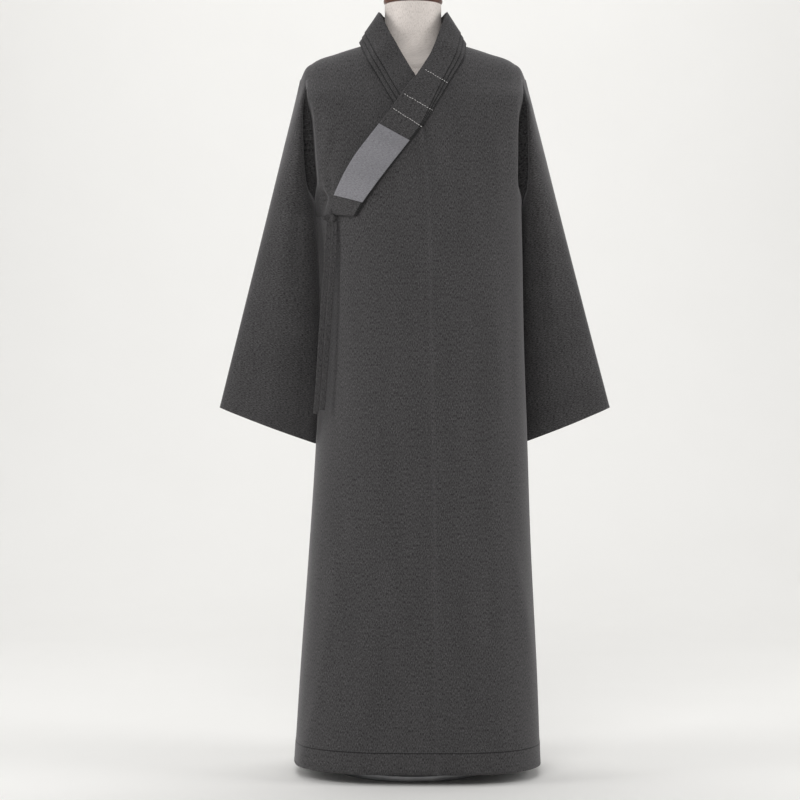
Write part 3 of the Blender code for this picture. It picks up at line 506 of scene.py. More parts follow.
def show(name, data, finish, ride=True):
    """Makes a smooth shaded object of a mesh, at the origin."""
    data.materials.clear()
    data.materials.append(finish)
    data.shade_smooth()
    thing = bpy.data.objects.new(name, data)
    bpy.context.scene.collection.objects.link(thing)
    if ride:
        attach(thing, "root")
    return thing


def grid_mesh(name, points, flat, closed=False, capped=False):
    """A mesh of one grid, rows by columns; closed joins each row's end to its start, and capped
    fills the first and the last row."""
    columns = points.shape[1]
    number = numbered(points.shape)
    if closed:
        number = np.hstack([number, number[:, :1]])
        flat = np.hstack([flat, flat[:, -1:] + (flat[:, -1:] - flat[:, -2:-1])])
    faces = quads_of(number).tolist()
    pattern = flat.reshape(-1, 2)[quads_of(numbered(flat.shape)).ravel()]
    if capped:
        for ring, order in ((0, -1), (-1, 1)):
            face = number[ring, :columns][::order]
            faces.append(face.tolist())
            spots = points[ring][::order]
            pattern = np.vstack([pattern, spots[:, :2]])
    data = bpy.data.meshes.new(name)
    data.from_pydata(points.reshape(-1, 3), [], faces)
    layer = data.uv_layers.new(name="flat_pattern")
    layer.data.foreach_set("uv", pattern.ravel())
    return data


def joined(name, parts):
    """One mesh of several."""
    work = bmesh.new()
    for part in parts:
        work.from_mesh(part)
    data = bpy.data.meshes.new(name)
    bmesh.ops.recalc_face_normals(work, faces=work.faces)
    work.to_mesh(data)
    work.free()
    return data


def prism(outline, y_front, y_back):
    """An outline in X and Z carried from one depth to another, to cut cloth with."""
    work = bmesh.new()
    near = [work.verts.new((x, y_front, z)) for x, z in outline]
    far = [work.verts.new((x, y_back, z)) for x, z in outline]
    work.faces.new(near)
    work.faces.new(far[::-1])
    for i in range(len(outline)):
        j = (i + 1) % len(outline)
        work.faces.new([near[j], near[i], far[i], far[j]])
    bmesh.ops.recalc_face_normals(work, faces=work.faces)
    data = bpy.data.meshes.new("cutter")
    work.to_mesh(data)
    work.free()
    cutter = bpy.data.objects.new("cutter", data)
    bpy.context.scene.collection.objects.link(cutter)
    return cutter


def thick_and_cut(data, cutters):
    """Gives a cloth surface its thickness, half to each side, and cuts its neckline."""
    thing = bpy.data.objects.new("work", data)
    bpy.context.scene.collection.objects.link(thing)
    wall = thing.modifiers.new("wall", "SOLIDIFY")
    wall.thickness = CLOTH
    wall.offset = 0.0
    for cutter in cutters:
        change = thing.modifiers.new("cut", "BOOLEAN")
        change.operation = "DIFFERENCE"
        change.solver = "EXACT"
        change.object = cutter
    bpy.context.view_layer.update()
    made = bpy.data.meshes.new_from_object(
        thing.evaluated_get(bpy.context.evaluated_depsgraph_get()))
    bpy.data.objects.remove(thing, do_unlink=True)
    return made


# Cloth of the gown
def run(path):
    """Distance along a path from its first point, as a column."""
    steps = np.linalg.norm(np.diff(path, axis=0), axis=1)
    return np.concatenate([[0], np.cumsum(steps)])[:, None]


def directions(path):
    """Unit vectors along a path."""
    along = np.gradient(path, axis=0)
    return along / np.linalg.norm(along, axis=1, keepdims=True)


def arc_length(points):
    """Distance along each row of a grid from its first column."""
    steps = np.linalg.norm(np.diff(points, axis=1), axis=2)
    return np.hstack([np.zeros((len(points), 1)), np.cumsum(steps, axis=1)])


def body_flat(side, face, points):
    """Pattern coordinates of the body: across along its surface, and up."""
    across = arc_length(points) * side + (BACK_PATTERN if face > 0 else 0.0)
    return np.dstack([across, points[:, :, 2]])


def sleeve_flat(side, face, points):
    """Pattern coordinates of a sleeve, whose threads are turned by its hang: down the sleeve
    from the shoulder tip, and across it."""
    out, down = np.abs(points[:, :, 0]) - SHOULDER_HALF, SHOULDER_HEIGHT - points[:, :, 2]
    middle, start = SLEEVE_PATTERN
    along = start + out * math.sin(SLEEVE_LEAN) + down * math.cos(SLEEVE_LEAN)
    return np.dstack([middle + side * along, arc_length(points)
                      + (SLEEVE_BACK_PATTERN if face > 0 else SLEEVE_FRONT_PATTERN)])


def valley(z):
    """The fold between body and sleeve is pressed in deeper over most of its height."""
    return -0.0090 * smooth(z, 1.045, 1.085) * (1 - smooth(z, 1.185, 1.240))


def hem_turn(z):
    """The turned hem stands 0.6 mm proud up to its stitch line."""
    return 0.0006 * (1 - smooth(z - HEM_HEIGHT, HEM_TURN - 0.001, HEM_TURN + 0.003))


def quarter(side, face, level, width=1.0, parts=("upper", "skirt", "sleeve")):
    """One front or back of one half as up to three grids: the upper part, the skirt below the
    underarm and the hanging sleeve. Across the body the columns follow the sine of an even
    step, and over the sleeve half a cosine wave; the depth is the solids' own formula."""
    columns = np.linspace(0, width, round(BODY_FINE * width) + 1)
    across = np.sin(columns * math.pi / 2) ** 0.92
    along = (1 - np.cos(np.linspace(0, math.pi, SLEEVE_FINE + 1))) / 2
    steps = np.arange(len(SHOULDER_ROWS))
    rise = np.interp(np.linspace(0, steps[-1], ROWS_TO_SHOULDER), steps,
                     SHOULDER_ROWS)[:, None]
    tip = UNDERARM_HEIGHT + (SHOULDER_HEIGHT - UNDERARM_HEIGHT) * rise
    mirror = np.array([side, 1, 1])
    outwards = -side * face
    grids = []

    def lifted(x):
        return tip + rise ** 4 * (read(SHOULDER_LINE, "height", np.abs(x)) - SHOULDER_HEIGHT)

    def fading(x, z):
        drop = read(SHOULDER_LINE, "height", np.abs(x)) - z
        return smooth(drop, 0.004, 0.090)

    if "upper" in parts:
        start = centre_line(side, face, lifted(0.0 * tip))
        gather = smooth(rise, 0.93, 1.0)
        edge = read(SIDE[side], "x", tip) * (1 - gather) + RIDGE_POINT * gather
        x = start + (edge - start) * across
        z = lifted(x)
        share = across + 0 * x
        body = np.dstack([x, body_depth(side, face, share, x, z), z]) * mirror
        fade = fading(x, z) * smooth(share, 0.0, 0.10) * (1 - smooth(share, 0.965, 1.0))
        if face < 0:
            fade = fade * clear_of_collar(side * x, z)
        over = level(layer_share(share, z)) + fade * relief(side, face, x, z, BODY_CREASES)
        over = over + valley(z) * smooth(share, 0.93, 1.0)
        grid = {"points": body, "flat": body_flat(side, face, body), "height": over,
                "outwards": outwards}
        if "sleeve" in parts:
            inner = read(SLEEVE[side], "in_x", tip) * (1 - gather) + SLEEVE_RIDGE * gather
            x = inner + (read(SLEEVE[side], "out_x", tip) - inner) * along
            z = lifted(x)
            share = along + 0 * x
            sleeve = np.dstack([x, sleeve_depth(side, face, share, x, z), z]) * mirror
            fade = fading(x, z) * smooth(share, 0.0, 0.06) * (1 - smooth(share, 0.88, 1.0))
            grid = {"points": np.hstack([body, sleeve]),
                    "flat": np.hstack([grid["flat"], sleeve_flat(side, face, sleeve)]),
                    "height": np.hstack([over, fade * relief(side, face, x, z, SLEEVE_CREASES)
                                         + valley(z) * (1 - smooth(share, 0.0, 0.08))]),
                    "outwards": outwards, "strip": len(columns) - 1}
        grids.append(grid)
    if "skirt" in parts:
        fine = HEM_HEIGHT + HEM_TURN + HEM_ROWS
        even = np.linspace(UNDERARM_HEIGHT, HEM_HEIGHT,
                           round((UNDERARM_HEIGHT - HEM_HEIGHT) / SKIRT_STEP) + 1)
        far = np.abs(even[:, None] - fine).min(axis=1) > 0.002
        z = np.sort(np.concatenate([even[far], fine]))[::-1][:, None] + 0 * across
        start = centre_line(side, face, z)
        x = start + (read(SIDE[side], "x", z) - start) * across
        share = across + 0 * x
        skirt = np.dstack([x, body_depth(side, face, share, x, z), z]) * mirror
        fade = smooth(share, 0.0, 0.10) * (1 - smooth(share, 0.965, 1.0))
        if face < 0:
            fade = fade * clear_of_collar(side * x, z)
        over = level(share) + fade * relief(side, face, x, z, BODY_CREASES) + hem_turn(z)
        grids.append({"points": skirt, "flat": body_flat(side, face, skirt), "height": over,
                      "outwards": -outwards})
    if "sleeve" in parts:
        down = np.linspace(0, 1, ROWS_DOWN_SLEEVE)[:, None]
        cuff = CUFF_INNER_HEIGHT + (CUFF_OUTER_HEIGHT - CUFF_INNER_HEIGHT) * along
        z = UNDERARM_HEIGHT + (cuff - UNDERARM_HEIGHT) * down
        inner = read(SLEEVE[side], "in_x", z)
        x = inner + (read(SLEEVE[side], "out_x", z) - inner) * along
        share = along + 0 * x
        sleeve = np.dstack([x, sleeve_depth(side, face, share, x, z), z]) * mirror
        fade = smooth(share, 0.0, 0.06) * (1 - smooth(share, 0.88, 1.0))
        over = fade * relief(side, face, x, z, SLEEVE_CREASES)
        grids.append({"points": sleeve, "flat": sleeve_flat(side, face, sleeve),
                      "height": over, "outwards": -outwards})
    return grids


def cutters():
    """The three neckline cutters, the same as the solids': along the middle of the collar over
    and under, and the back neckline."""
    upper, lower = middle_line(COLLAR_UPPER), middle_line(COLLAR_LOWER)
    end_x, end_z = upper[0]
    over = ([(-0.26, end_z + 0.002), (end_x, end_z + 0.002)] + upper[1:]
            + [(HALF_NECKLINE, 1.32), (HALF_NECKLINE, 1.42), (-0.26, 1.42)])
    under = ([(-HALF_NECKLINE, 1.42), (-HALF_NECKLINE, 1.33)] + lower
             + [(0.105, 1.06), (0.12, 0.98), (0.26, 0.98), (0.26, 1.42)])
    back = [(HALF_NECKLINE * math.cos(a), BACK_NECK[0] - BACK_NECK[1] * math.sin(a) ** 0.7)
            for a in np.linspace(0, math.pi, 41)]
    back += [(-HALF_NECKLINE, 1.42), (HALF_NECKLINE, 1.42)]
    return prism(over, -0.3, 0.02), prism(under, -0.3, 0.02), prism(back, -0.02, 0.3)


# The collar
def chest_depth(x, z):
    """Depth of the chest, and the share of the way from the centre-front seam to the side."""
    found, shares = [], []
    for side in (1, -1):
        start = side * read(CENTRE_FRONT, "x", z)
        share = (side * x - start) / (read(SIDE[side], "x", z) - start)
        found.append(body_depth(side, -1, share, side * x, z))
        shares.append(share)
    left = x > read(CENTRE_FRONT, "x", z)
    return np.where(left, found[0], found[1]), np.where(left, shares[0], shares[1])


def chest_point(x, z, height):
    """A point over the chest, moved out along the surface's own normal."""
    step = 0.004
    y = chest_depth(x, z)[0]
    slope_x = (chest_depth(x + step, z)[0] - chest_depth(x - step, z)[0]) / (2 * step)
    slope_z = (chest_depth(x, z + step)[0] - chest_depth(x, z - step)[0]) / (2 * step)
    normal = np.stack([slope_x, -1.0 + 0 * y, slope_z], axis=-1)
    normal /= np.linalg.norm(normal, axis=-1, keepdims=True)
    return np.stack([x, y, z], axis=-1) + normal * height[..., None]


def chest_collar(station, share, upper):
    """The collar on the chest: over the wrap on its upper length, with a lift where the two
    lengths cross, and under the left front on its lower one."""
    rows = COLLAR_UPPER if upper else COLLAR_LOWER
    x = (1 - share) * read(rows, "sewn_x", station) + share * read(rows, "free_x", station)
    z = (1 - share) * read(rows, "sewn_z", station) + share * read(rows, "free_z", station)
    place = layer_share(np.maximum(chest_depth(x, z)[1], 0.0), z)
    if upper:
        crossing = np.exp(-((station - 5.4) / 1.5) ** 2) * smooth(share, 0.0, 0.8)
        level = np.where(x < 0, over_level(place), 0.0) + CROSSING_LIFT * crossing
    else:
        level = np.where(x < 0, under_level(place), -LAYER_STEP)
    return chest_point(x, z, level + CLOTH / 2 + COLLAR_LIFT)


def neck_collar(station, share):
    """The collar standing round the neck, straight between the table's two edges."""
    return np.stack([(1 - share) * read(COLLAR_NECK, "sewn_" + axis, station)
                     + share * read(COLLAR_NECK, "free_" + axis, station)
                     for axis in "xyz"], axis=-1)


def collar_surface(station, share):
    """The collar's under side: straight from its sewn edge to its free edge, laid on the chest
    at both ends, from the table round the neck, and bridged by a cubic curve between."""
    step = 0.25

    def bridge(low, high, before, after):
        f = ((station - low) / (high - low))[..., None]
        nearby = 0 * station
        a, b = before(nearby + low), after(nearby + high)
        slope_a = a - before(nearby + low - step)
        slope_b = after(nearby + high + step) - b
        span = (high - low) / step
        return (a * (1 + 2 * f) * (1 - f) ** 2 + b * f * f * (3 - 2 * f)
                + span * (slope_a * f * (1 - f) ** 2 - slope_b * f * f * (1 - f)))

    def on_upper(s):
        return chest_collar(s, share, True)

    def on_lower(s):
        return chest_collar(s, share, False)

    def on_neck(s):
        return neck_collar(s, share)

    s = station[..., None]
    made = on_lower(np.maximum(station, 17))
    made = np.where(s < 17, bridge(16, 17, on_neck, on_lower), made)
    made = np.where(s <= 16, on_neck(np.clip(station, 8, 16)), made)
    made = np.where(s < 8, bridge(7, 8, on_upper, on_neck), made)
    return np.where(s <= 7, on_upper(np.minimum(station, 7)), made)


def collar_frame(station, share):
    """Points of the collar's under side and the unit normals out of it."""
    along = (collar_surface(np.minimum(station + 0.05, COLLAR_END), share)
             - collar_surface(np.maximum(station - 0.05, 0), share))
    across = (collar_surface(station, np.minimum(share + 0.05, 1))
              - collar_surface(station, np.maximum(share - 0.05, 0)))
    normal = np.cross(along, across)
    normal /= np.linalg.norm(normal, axis=-1, keepdims=True)
    return collar_surface(station, share), normal


def collar_band(name, first_station, last_station, low, high, edge, rows):
    """A closed band between two heights over the collar's under side, with rounded edges: its
    top falls by a quarter circle over the last 1.2 mm at each edge. Edge names the column of
    the collar's steps where the band starts, or gives None for the sewn edge."""
    columns, round_over, station_length = 18, 0.0012, 0.045
    station = np.linspace(first_station, last_station, rows)[:, None]
    start = 0.0 * station if edge is None else read(COLLAR_STEPS, edge, station)
    spread = np.linspace(0, 1, columns)[None, :]
    share = start + (1 - start) * (spread - 0.09 * np.sin(2 * math.pi * spread))
    station = station + 0 * share
    point, normal = collar_frame(station, share)
    width = arc_length(point)
    from_edge = np.minimum(width, width[:, -1:] - width)
    ends = np.minimum(station - first_station, last_station - station) * station_length
    inside = np.clip(np.minimum(from_edge, ends) / round_over, 0, 1)
    crown = np.sqrt(1 - (1 - inside) ** 2)
    wave = 0.00012 * np.sin(width * 260 + station * 3.1) * np.sin(station * 5.3 + low * 4000)
    middle = (low + high) / 2
    top = point + normal * (middle + (high - middle) * (0.25 + 0.75 * crown) + wave
                            * crown)[..., None]
    under = point + normal * (middle - (middle - low) * (0.25 + 0.75 * crown))[..., None]
    length = run(point[:, columns // 2]) + 0 * share
    flat = np.dstack([length + COLLAR_PATTERN[0],
                      width + COLLAR_PATTERN[1] + 0.2 * first_station])
    ring = np.concatenate([under, top[:, ::-1]], axis=1)
    return grid_mesh(name, ring, np.concatenate([flat, flat[:, ::-1]], axis=1), closed=True,
                     capped=True)


# Points and normals of the collar's front length, to find a place on it
COLLAR_SPOTS = collar_frame(*np.meshgrid(np.linspace(2, 8, 241), np.linspace(0, 1, 61),
                                         indexing="ij"))


def on_collar(spots, height):
    """Points and normals on the collar at places given in X and Z as seen from the front."""
    point, normal = (values.reshape(-1, 3) for values in COLLAR_SPOTS)
    away = ((point[None, :, [0, 2]] - spots[:, None]) ** 2).sum(axis=2)
    nearest = away.argmin(axis=1)
    return point[nearest] + normal[nearest] * height, normal[nearest]


# Small parts
def tube(path, radius, count):
    """A closed tube along a path, with a radius at every point: a circle square to the path's
    direction, turned so that it does not twist."""
    path = np.asarray(path, float)
    radius = np.broadcast_to(radius, len(path))
    along = directions(path)
    out = np.cross(along, np.array([0.31, 0.22, 0.93]))
    out /= np.linalg.norm(out, axis=1, keepdims=True)
    side = np.cross(along, out)
    angle = np.linspace(0, 2 * math.pi, count, endpoint=False)
    ring = (path[:, None] + radius[:, None, None]
            * (out[:, None] * np.cos(angle)[None, :, None]
               + side[:, None] * np.sin(angle)[None, :, None]))
    flat = np.dstack([radius[:, None] * angle[None, :], run(path) + 0 * angle[None, :]])
    return grid_mesh("tube", ring, flat, closed=True, capped=True)


def thread_dash(start, end, normal, radius):
    """One stitch: a half-buried capsule that arches a little between its ends."""
    t = np.linspace(0, 1, 9)[:, None]
    path = start * (1 - t) + end * t + normal * radius * (1.1 * np.sin(math.pi * t) - 0.35)
    return tube(path, radius * np.sqrt(np.clip(1 - (2 * t[:, 0] - 1) ** 6, 0.04, 1)), 8)


def ribbon(path, width, thickness, facing, fold=0.0):
    """A strip along a path with rounded edges: its section is a flattened ellipse of power 4,
    bent by fold into a shallow V, as a pressed tie is."""
    path = np.asarray(path, float)
    along = directions(path)
    facing = np.asarray(facing, float) + 0 * path
    out = facing - along * (facing * along).sum(axis=1, keepdims=True)
    out /= np.linalg.norm(out, axis=1, keepdims=True)
    across = np.cross(along, out)
    angle = np.linspace(0, 2 * math.pi, 28, endpoint=False)
    u = np.sign(np.cos(angle)) * np.abs(np.cos(angle)) ** 0.5
    v = np.sign(np.sin(angle)) * np.abs(np.sin(angle)) ** 0.5
    width = np.broadcast_to(width, len(path))[:, None]
    fold = np.broadcast_to(fold, len(path))[:, None]
    lift = thickness / 2 * v[None, :] - fold * (1 - np.abs(u[None, :]))
    ring = (path[:, None] + across[:, None] * (width * u[None, :] / 2)[..., None]
            + out[:, None] * lift[..., None])
    flat = np.dstack([width * u[None, :] / 2 + 0.5, run(path) + 0 * u[None, :]])
    return grid_mesh("ribbon", ring, flat, closed=True, capped=True)


def cloth_in_front(x, z):
    """The most forward cloth at a place near the right side: body or sleeve."""
    depth = chest_depth(x, z)[0]
    inner, outer = read(SLEEVE[-1], "in_x", z), read(SLEEVE[-1], "out_x", z)
    share = (np.abs(x) - inner) / (outer - inner)
    sleeve = sleeve_depth(-1, -1, np.clip(share, 0, 1), np.abs(x), z)
    return np.where((share > 0) & (share < 1), np.minimum(depth, sleeve), depth)


def tie_path(rows, knot_y, count):
    """A tie end's line: from the table in X and Z, a set distance before the foremost cloth,
    evened out by the mean of neighbours, the more often the finer the line."""
    z = np.linspace(rows["height"][0], rows["height"][-1], count)
    x = read(rows, "x", z)
    y = np.min([cloth_in_front(x + dx, z) for dx in (-0.006, 0.0, 0.006)], axis=0)
    y = np.minimum(y - TIE_CLEARANCE, knot_y)
    for _ in range(round(3 * (count / 12) ** 2)):
        y[1:-1] = (y[:-2] + y[1:-1] * 2 + y[2:]) / 4
    y[-1] = knot_y
    return np.stack([x, y, z], axis=1)


def turned(profile):
    """A turned surface: a profile of radius and height swept round the Z axis."""
    profile = np.array(profile, float)
    angle = np.linspace(0, 2 * math.pi, ROUND, endpoint=False)
    x = profile[:, :1] * np.cos(angle)
    y = profile[:, :1] * np.sin(angle)
    z = profile[:, 1:] + 0 * x
    flat = np.dstack([profile[:, :1] * angle, run(profile) + 0 * x])
    return grid_mesh("turned", np.dstack([x, y, z]), flat, closed=True, capped=True)


def rounded(profile, radius):
    """A profile whose corners are rounded by short quadratic curves."""
    profile = [np.array(p, float) for p in profile]
    made = [profile[0]]
    for before, corner, after in zip(profile, profile[1:], profile[2:]):
        reach = [min(radius, 0.45 * np.linalg.norm(p - corner)) for p in (before, after)]
        a = corner + (before - corner) / np.linalg.norm(before - corner) * reach[0]
        b = corner + (after - corner) / np.linalg.norm(after - corner) * reach[1]
        for t in np.linspace(0, 1, CORNER_POINTS):
            made.append(a * (1 - t) ** 2 + corner * 2 * t * (1 - t) + b * t * t)
    return made + [profile[-1]]


def oval_loft(rows):
    """Rings of ovals, each from its height, half width, front and back."""
    height, half, front, back = (np.array(column)[:, None] for column in zip(*rows))
    angle = np.linspace(0, 2 * math.pi, ROUND, endpoint=False)
    x = half * np.cos(angle)
    y = (front + back) / 2 + (back - front) / 2 * np.sin(angle)
    z = height + 0 * x
    flat = np.dstack([half * angle, z])
    return grid_mesh("loft", np.dstack([x, y, z]), flat, closed=True, capped=True)


def torso_mesh():
    """The form's torso: each row is half a superellipse of power 2.3 in front and one behind,
    drawn in over the shoulders by the same rounding as the gown."""
    columns = np.sin(np.linspace(-1, 1, 81) * math.pi / 2)
    steps = np.arange(len(SHOULDER_ROWS))
    rise = np.interp(np.linspace(0, steps[-1], 71), steps, SHOULDER_ROWS)
    low = np.linspace(TORSO_BOTTOM, UNDERARM_HEIGHT, 40)[:-1]
    top = TORSO["height"][-1]
    z_row = np.concatenate([low, UNDERARM_HEIGHT + (top - UNDERARM_HEIGHT) * rise])[:, None]
    lift = np.concatenate([0 * low, rise ** 4])[:, None]
    x = columns * read(TORSO, "half", z_row)
    ridge = read(SHOULDER_LINE, "height", np.abs(x)) - CLOTH / 2 - LAYER_STEP * 0.2 - 0.0006
    z = z_row + lift * (ridge - top)
    f = np.clip((ridge - z) / read(SHOULDER_ROUNDING, "drop", np.abs(x)), 0.0, 1.0)
    arch = np.sqrt(1 - (1 - f) ** 2) * (1 - np.abs(columns) ** 2.3) ** (1 / 2.3)
    ring = []
    for name, order in (("front", slice(None)), ("back", slice(None, None, -1))):
        y = 0.005 + read(TORSO, name, z_row) * arch
        ring.append(np.dstack([x, y, z])[:, order])
    ring = np.concatenate([ring[0][:, :-1], ring[1][:, :-1]], axis=1)
    flat = np.dstack([arc_length(ring), ring[:, :, 2]])
    data = grid_mesh("torso", ring, flat, closed=True, capped=True)
    work = bmesh.new()
    work.from_mesh(data)
    bmesh.ops.remove_doubles(work, verts=work.verts, dist=1e-5)
    bmesh.ops.dissolve_degenerate(work, edges=work.edges, dist=1e-6)
    bmesh.ops.recalc_face_normals(work, faces=work.faces)
    work.to_mesh(data)
    work.free()
    return data


# Materials
def group(name, inputs, outputs):
    """An empty shader node group with named sockets."""
    tree = bpy.data.node_groups.new(name, "ShaderNodeTree")
    for label, kind, value in inputs:
        socket = tree.interface.new_socket(label, in_out="INPUT", socket_type=kind)
        if value is not None:
            socket.default_value = value
    for label, kind in outputs:
        tree.interface.new_socket(label, in_out="OUTPUT", socket_type=kind)
    return tree, tree.nodes.new("NodeGroupInput"), tree.nodes.new("NodeGroupOutput")


def node(tree, kind, links=(), **values):
    """Adds a node; links are (input, output socket) and values are its properties."""
    made = tree.nodes.new(kind)
    for name, value in values.items():
        setattr(made, name, value)
    for target, source in links:
        if isinstance(source, bpy.types.NodeSocket):
            tree.links.new(source, made.inputs[target])
        else:
            made.inputs[target].default_value = source
    return made


def maths(tree, operation, *sources):
    """Adds a sum of one or more values and gives its result."""
    return node(tree, "ShaderNodeMath", list(enumerate(sources)), operation=operation).outputs[0]


def mixed(tree, share, first, second):
    """Two colours mixed by a share of the second."""
    return node(tree, "ShaderNodeMix", ((0, share), (6, first), (7, second)),
                data_type="RGBA").outputs[2]


def ramp(tree, value, low, high):
    """0 where a value is at low, 1 where it is at high, with a smooth rise between."""
    return node(tree, "ShaderNodeMapRange", ((0, value), (1, low), (2, high)),
                interpolation_type="SMOOTHSTEP").outputs[0]


def woven_group():
    """Melange weave: long fibres along the cloth's threads, speckle of light and dark yarn, a
    slow unevenness of dye, and the threads' own height."""
    tree, given, result = group(
        "woven_melange",
        (("Pattern", "NodeSocketVector", None), ("Colour", "NodeSocketColor", (0.06,) * 3 + (1,)),
         ("Light yarn", "NodeSocketColor", (0.12,) * 3 + (1,)),
         ("Dark yarn", "NodeSocketColor", (0.03,) * 3 + (1,)),
         ("Speckle", "NodeSocketFloat", 0.5), ("Thread", "NodeSocketFloat", 0.0011)),
        (("Colour", "NodeSocketColor"), ("Height", "NodeSocketFloat")))
    pattern = given.outputs["Pattern"]
    streaks = node(tree, "ShaderNodeMapping", (("Vector", pattern), ("Scale", (900, 200, 1))))
    streak = node(tree, "ShaderNodeTexNoise", (("Vector", streaks.outputs[0]), ("Scale", 1.0),
                                               ("Detail", 2.0)))
    flecks = node(tree, "ShaderNodeMapping", (("Vector", pattern), ("Scale", (580, 290, 1)),
                                              ("Location", (7.3, 2.1, 0))))
    fleck = node(tree, "ShaderNodeTexNoise", (("Vector", flecks.outputs[0]), ("Scale", 1.0),
                                              ("Detail", 3.0), ("Roughness", 0.65)))
    slow = node(tree, "ShaderNodeMapping", (("Vector", pattern), ("Scale", (26, 5, 1))))
    dye = node(tree, "ShaderNodeTexNoise", (("Vector", slow.outputs[0]), ("Scale", 1.0),
                                            ("Detail", 3.0)))
    light = maths(tree, "MULTIPLY", ramp(tree, fleck.outputs[0], 0.48, 0.66),
                  given.outputs["Speckle"])
    dark = maths(tree, "MULTIPLY", ramp(tree, streak.outputs[0], 0.52, 0.34),
                 given.outputs["Speckle"])
    colour = mixed(tree, light, given.outputs["Colour"], given.outputs["Light yarn"])
    colour = mixed(tree, dark, colour, given.outputs["Dark yarn"])
    tone = node(tree, "ShaderNodeMapRange", ((0, dye.outputs[0]), (1, 0.3), (2, 0.7),
                                             (3, 0.93), (4, 1.07))).outputs[0]
    colour = node(tree, "ShaderNodeVectorMath", ((0, colour), (3, tone)), operation="SCALE")
    separate = node(tree, "ShaderNodeSeparateXYZ", ((0, pattern),))
    turn = maths(tree, "DIVIDE", math.pi, given.outputs["Thread"])
    warp = maths(tree, "SINE", maths(tree, "MULTIPLY", separate.outputs[0], turn))
    weft = maths(tree, "SINE", maths(tree, "MULTIPLY", separate.outputs[1], turn))
    weave = maths(tree, "MULTIPLY", warp, weft)
    height = maths(tree, "ADD", maths(tree, "MULTIPLY", weave, 0.35),
                   maths(tree, "MULTIPLY", streak.outputs[0], 0.9))
    tree.links.new(colour.outputs[0], result.inputs["Colour"])
    tree.links.new(height, result.inputs["Height"])
    return tree


def line_group():
    """A stitched line where the pattern is at a given height: a groove in the height, with
    painted shade that darkens its colour almost to black, fully at the stitches and to seven
    tenths between.
    """
    tree, given, result = group(
        "stitched_line",
        (("Pattern", "NodeSocketVector", None), ("Colour", "NodeSocketColor", (0.06,) * 3 + (1,)),
         ("At", "NodeSocketFloat", 0.058), ("Half width", "NodeSocketFloat", 0.0011),
         ("Strength", "NodeSocketFloat", 0.95)),
        (("Colour", "NodeSocketColor"), ("Groove", "NodeSocketFloat")))
    separate = node(tree, "ShaderNodeSeparateXYZ", ((0, given.outputs["Pattern"]),))
    away = maths(tree, "ABSOLUTE", maths(tree, "SUBTRACT", separate.outputs[1],
                                         given.outputs["At"]))
    inside = maths(tree, "SUBTRACT", 1.0, ramp(tree, maths(
        tree, "DIVIDE", away, given.outputs["Half width"]), 0.5, 1.2))
    dash = maths(tree, "SINE", maths(tree, "MULTIPLY", separate.outputs[0], 2 * math.pi / 0.0034))
    line = maths(tree, "MULTIPLY", inside, maths(tree, "MULTIPLY_ADD", ramp(
        tree, dash, -0.6, 0.2), 0.3, 0.7))
    # painted shade: the line's colour is mixed towards near black, standing in for the shade in
    # the seam's groove
    groove_painted_shade = mixed(tree, maths(tree, "MULTIPLY", line, given.outputs["Strength"]),
                   given.outputs["Colour"], (0.008, 0.008, 0.008, 1))
    tree.links.new(groove_painted_shade, result.inputs["Colour"])
    tree.links.new(line, result.inputs["Groove"])
    return tree


def grain_group():
    """Wood grain: rings stretched along the turning's axis, with fine pores."""
    tree, given, result = group(
        "turned_grain",
        (("Place", "NodeSocketVector", None), ("Light", "NodeSocketColor", (0.2,) * 3 + (1,)),
         ("Dark", "NodeSocketColor", (0.05,) * 3 + (1,))),
        (("Colour", "NodeSocketColor"), ("Height", "NodeSocketFloat")))
    place = node(tree, "ShaderNodeMapping", (("Vector", given.outputs["Place"]),
                                             ("Scale", (18, 130, 130))))
    warp = node(tree, "ShaderNodeTexNoise", (("Vector", place.outputs[0]), ("Scale", 1.0),
                                             ("Detail", 5.0), ("Distortion", 0.8)))
    pores = node(tree, "ShaderNodeMapping", (("Vector", given.outputs["Place"]),
                                             ("Scale", (160, 1500, 1500))))
    pore = node(tree, "ShaderNodeTexNoise", (("Vector", pores.outputs[0]), ("Scale", 1.0)))
    share = ramp(tree, warp.outputs[0], 0.35, 0.65)
    colour = mixed(tree, share, given.outputs["Dark"], given.outputs["Light"])
    colour = mixed(tree, ramp(tree, pore.outputs[0], 0.62, 0.75), colour, given.outputs["Dark"])
    tree.links.new(colour, result.inputs["Colour"])
    tree.links.new(pore.outputs[0], result.inputs["Height"])
    return tree


GROUPS = {"woven": woven_group(), "line": line_group(), "grain": grain_group()}


def use(tree, name, **links):
    """Places one of the shared groups; underscores in the names stand for spaces."""
    made = tree.nodes.new("ShaderNodeGroup")
    made.node_tree = GROUPS[name]
    for label, source in links.items():
        target = made.inputs[label.replace("_", " ")]
        if isinstance(source, bpy.types.NodeSocket):
            tree.links.new(source, target)
        else:
            target.default_value = source
    return made


def new_material(name):
    """A material with its node tree and its one shader."""
    made = bpy.data.materials.new(name)
    made.use_nodes = True
    return made, made.node_tree, made.node_tree.nodes["Principled BSDF"]


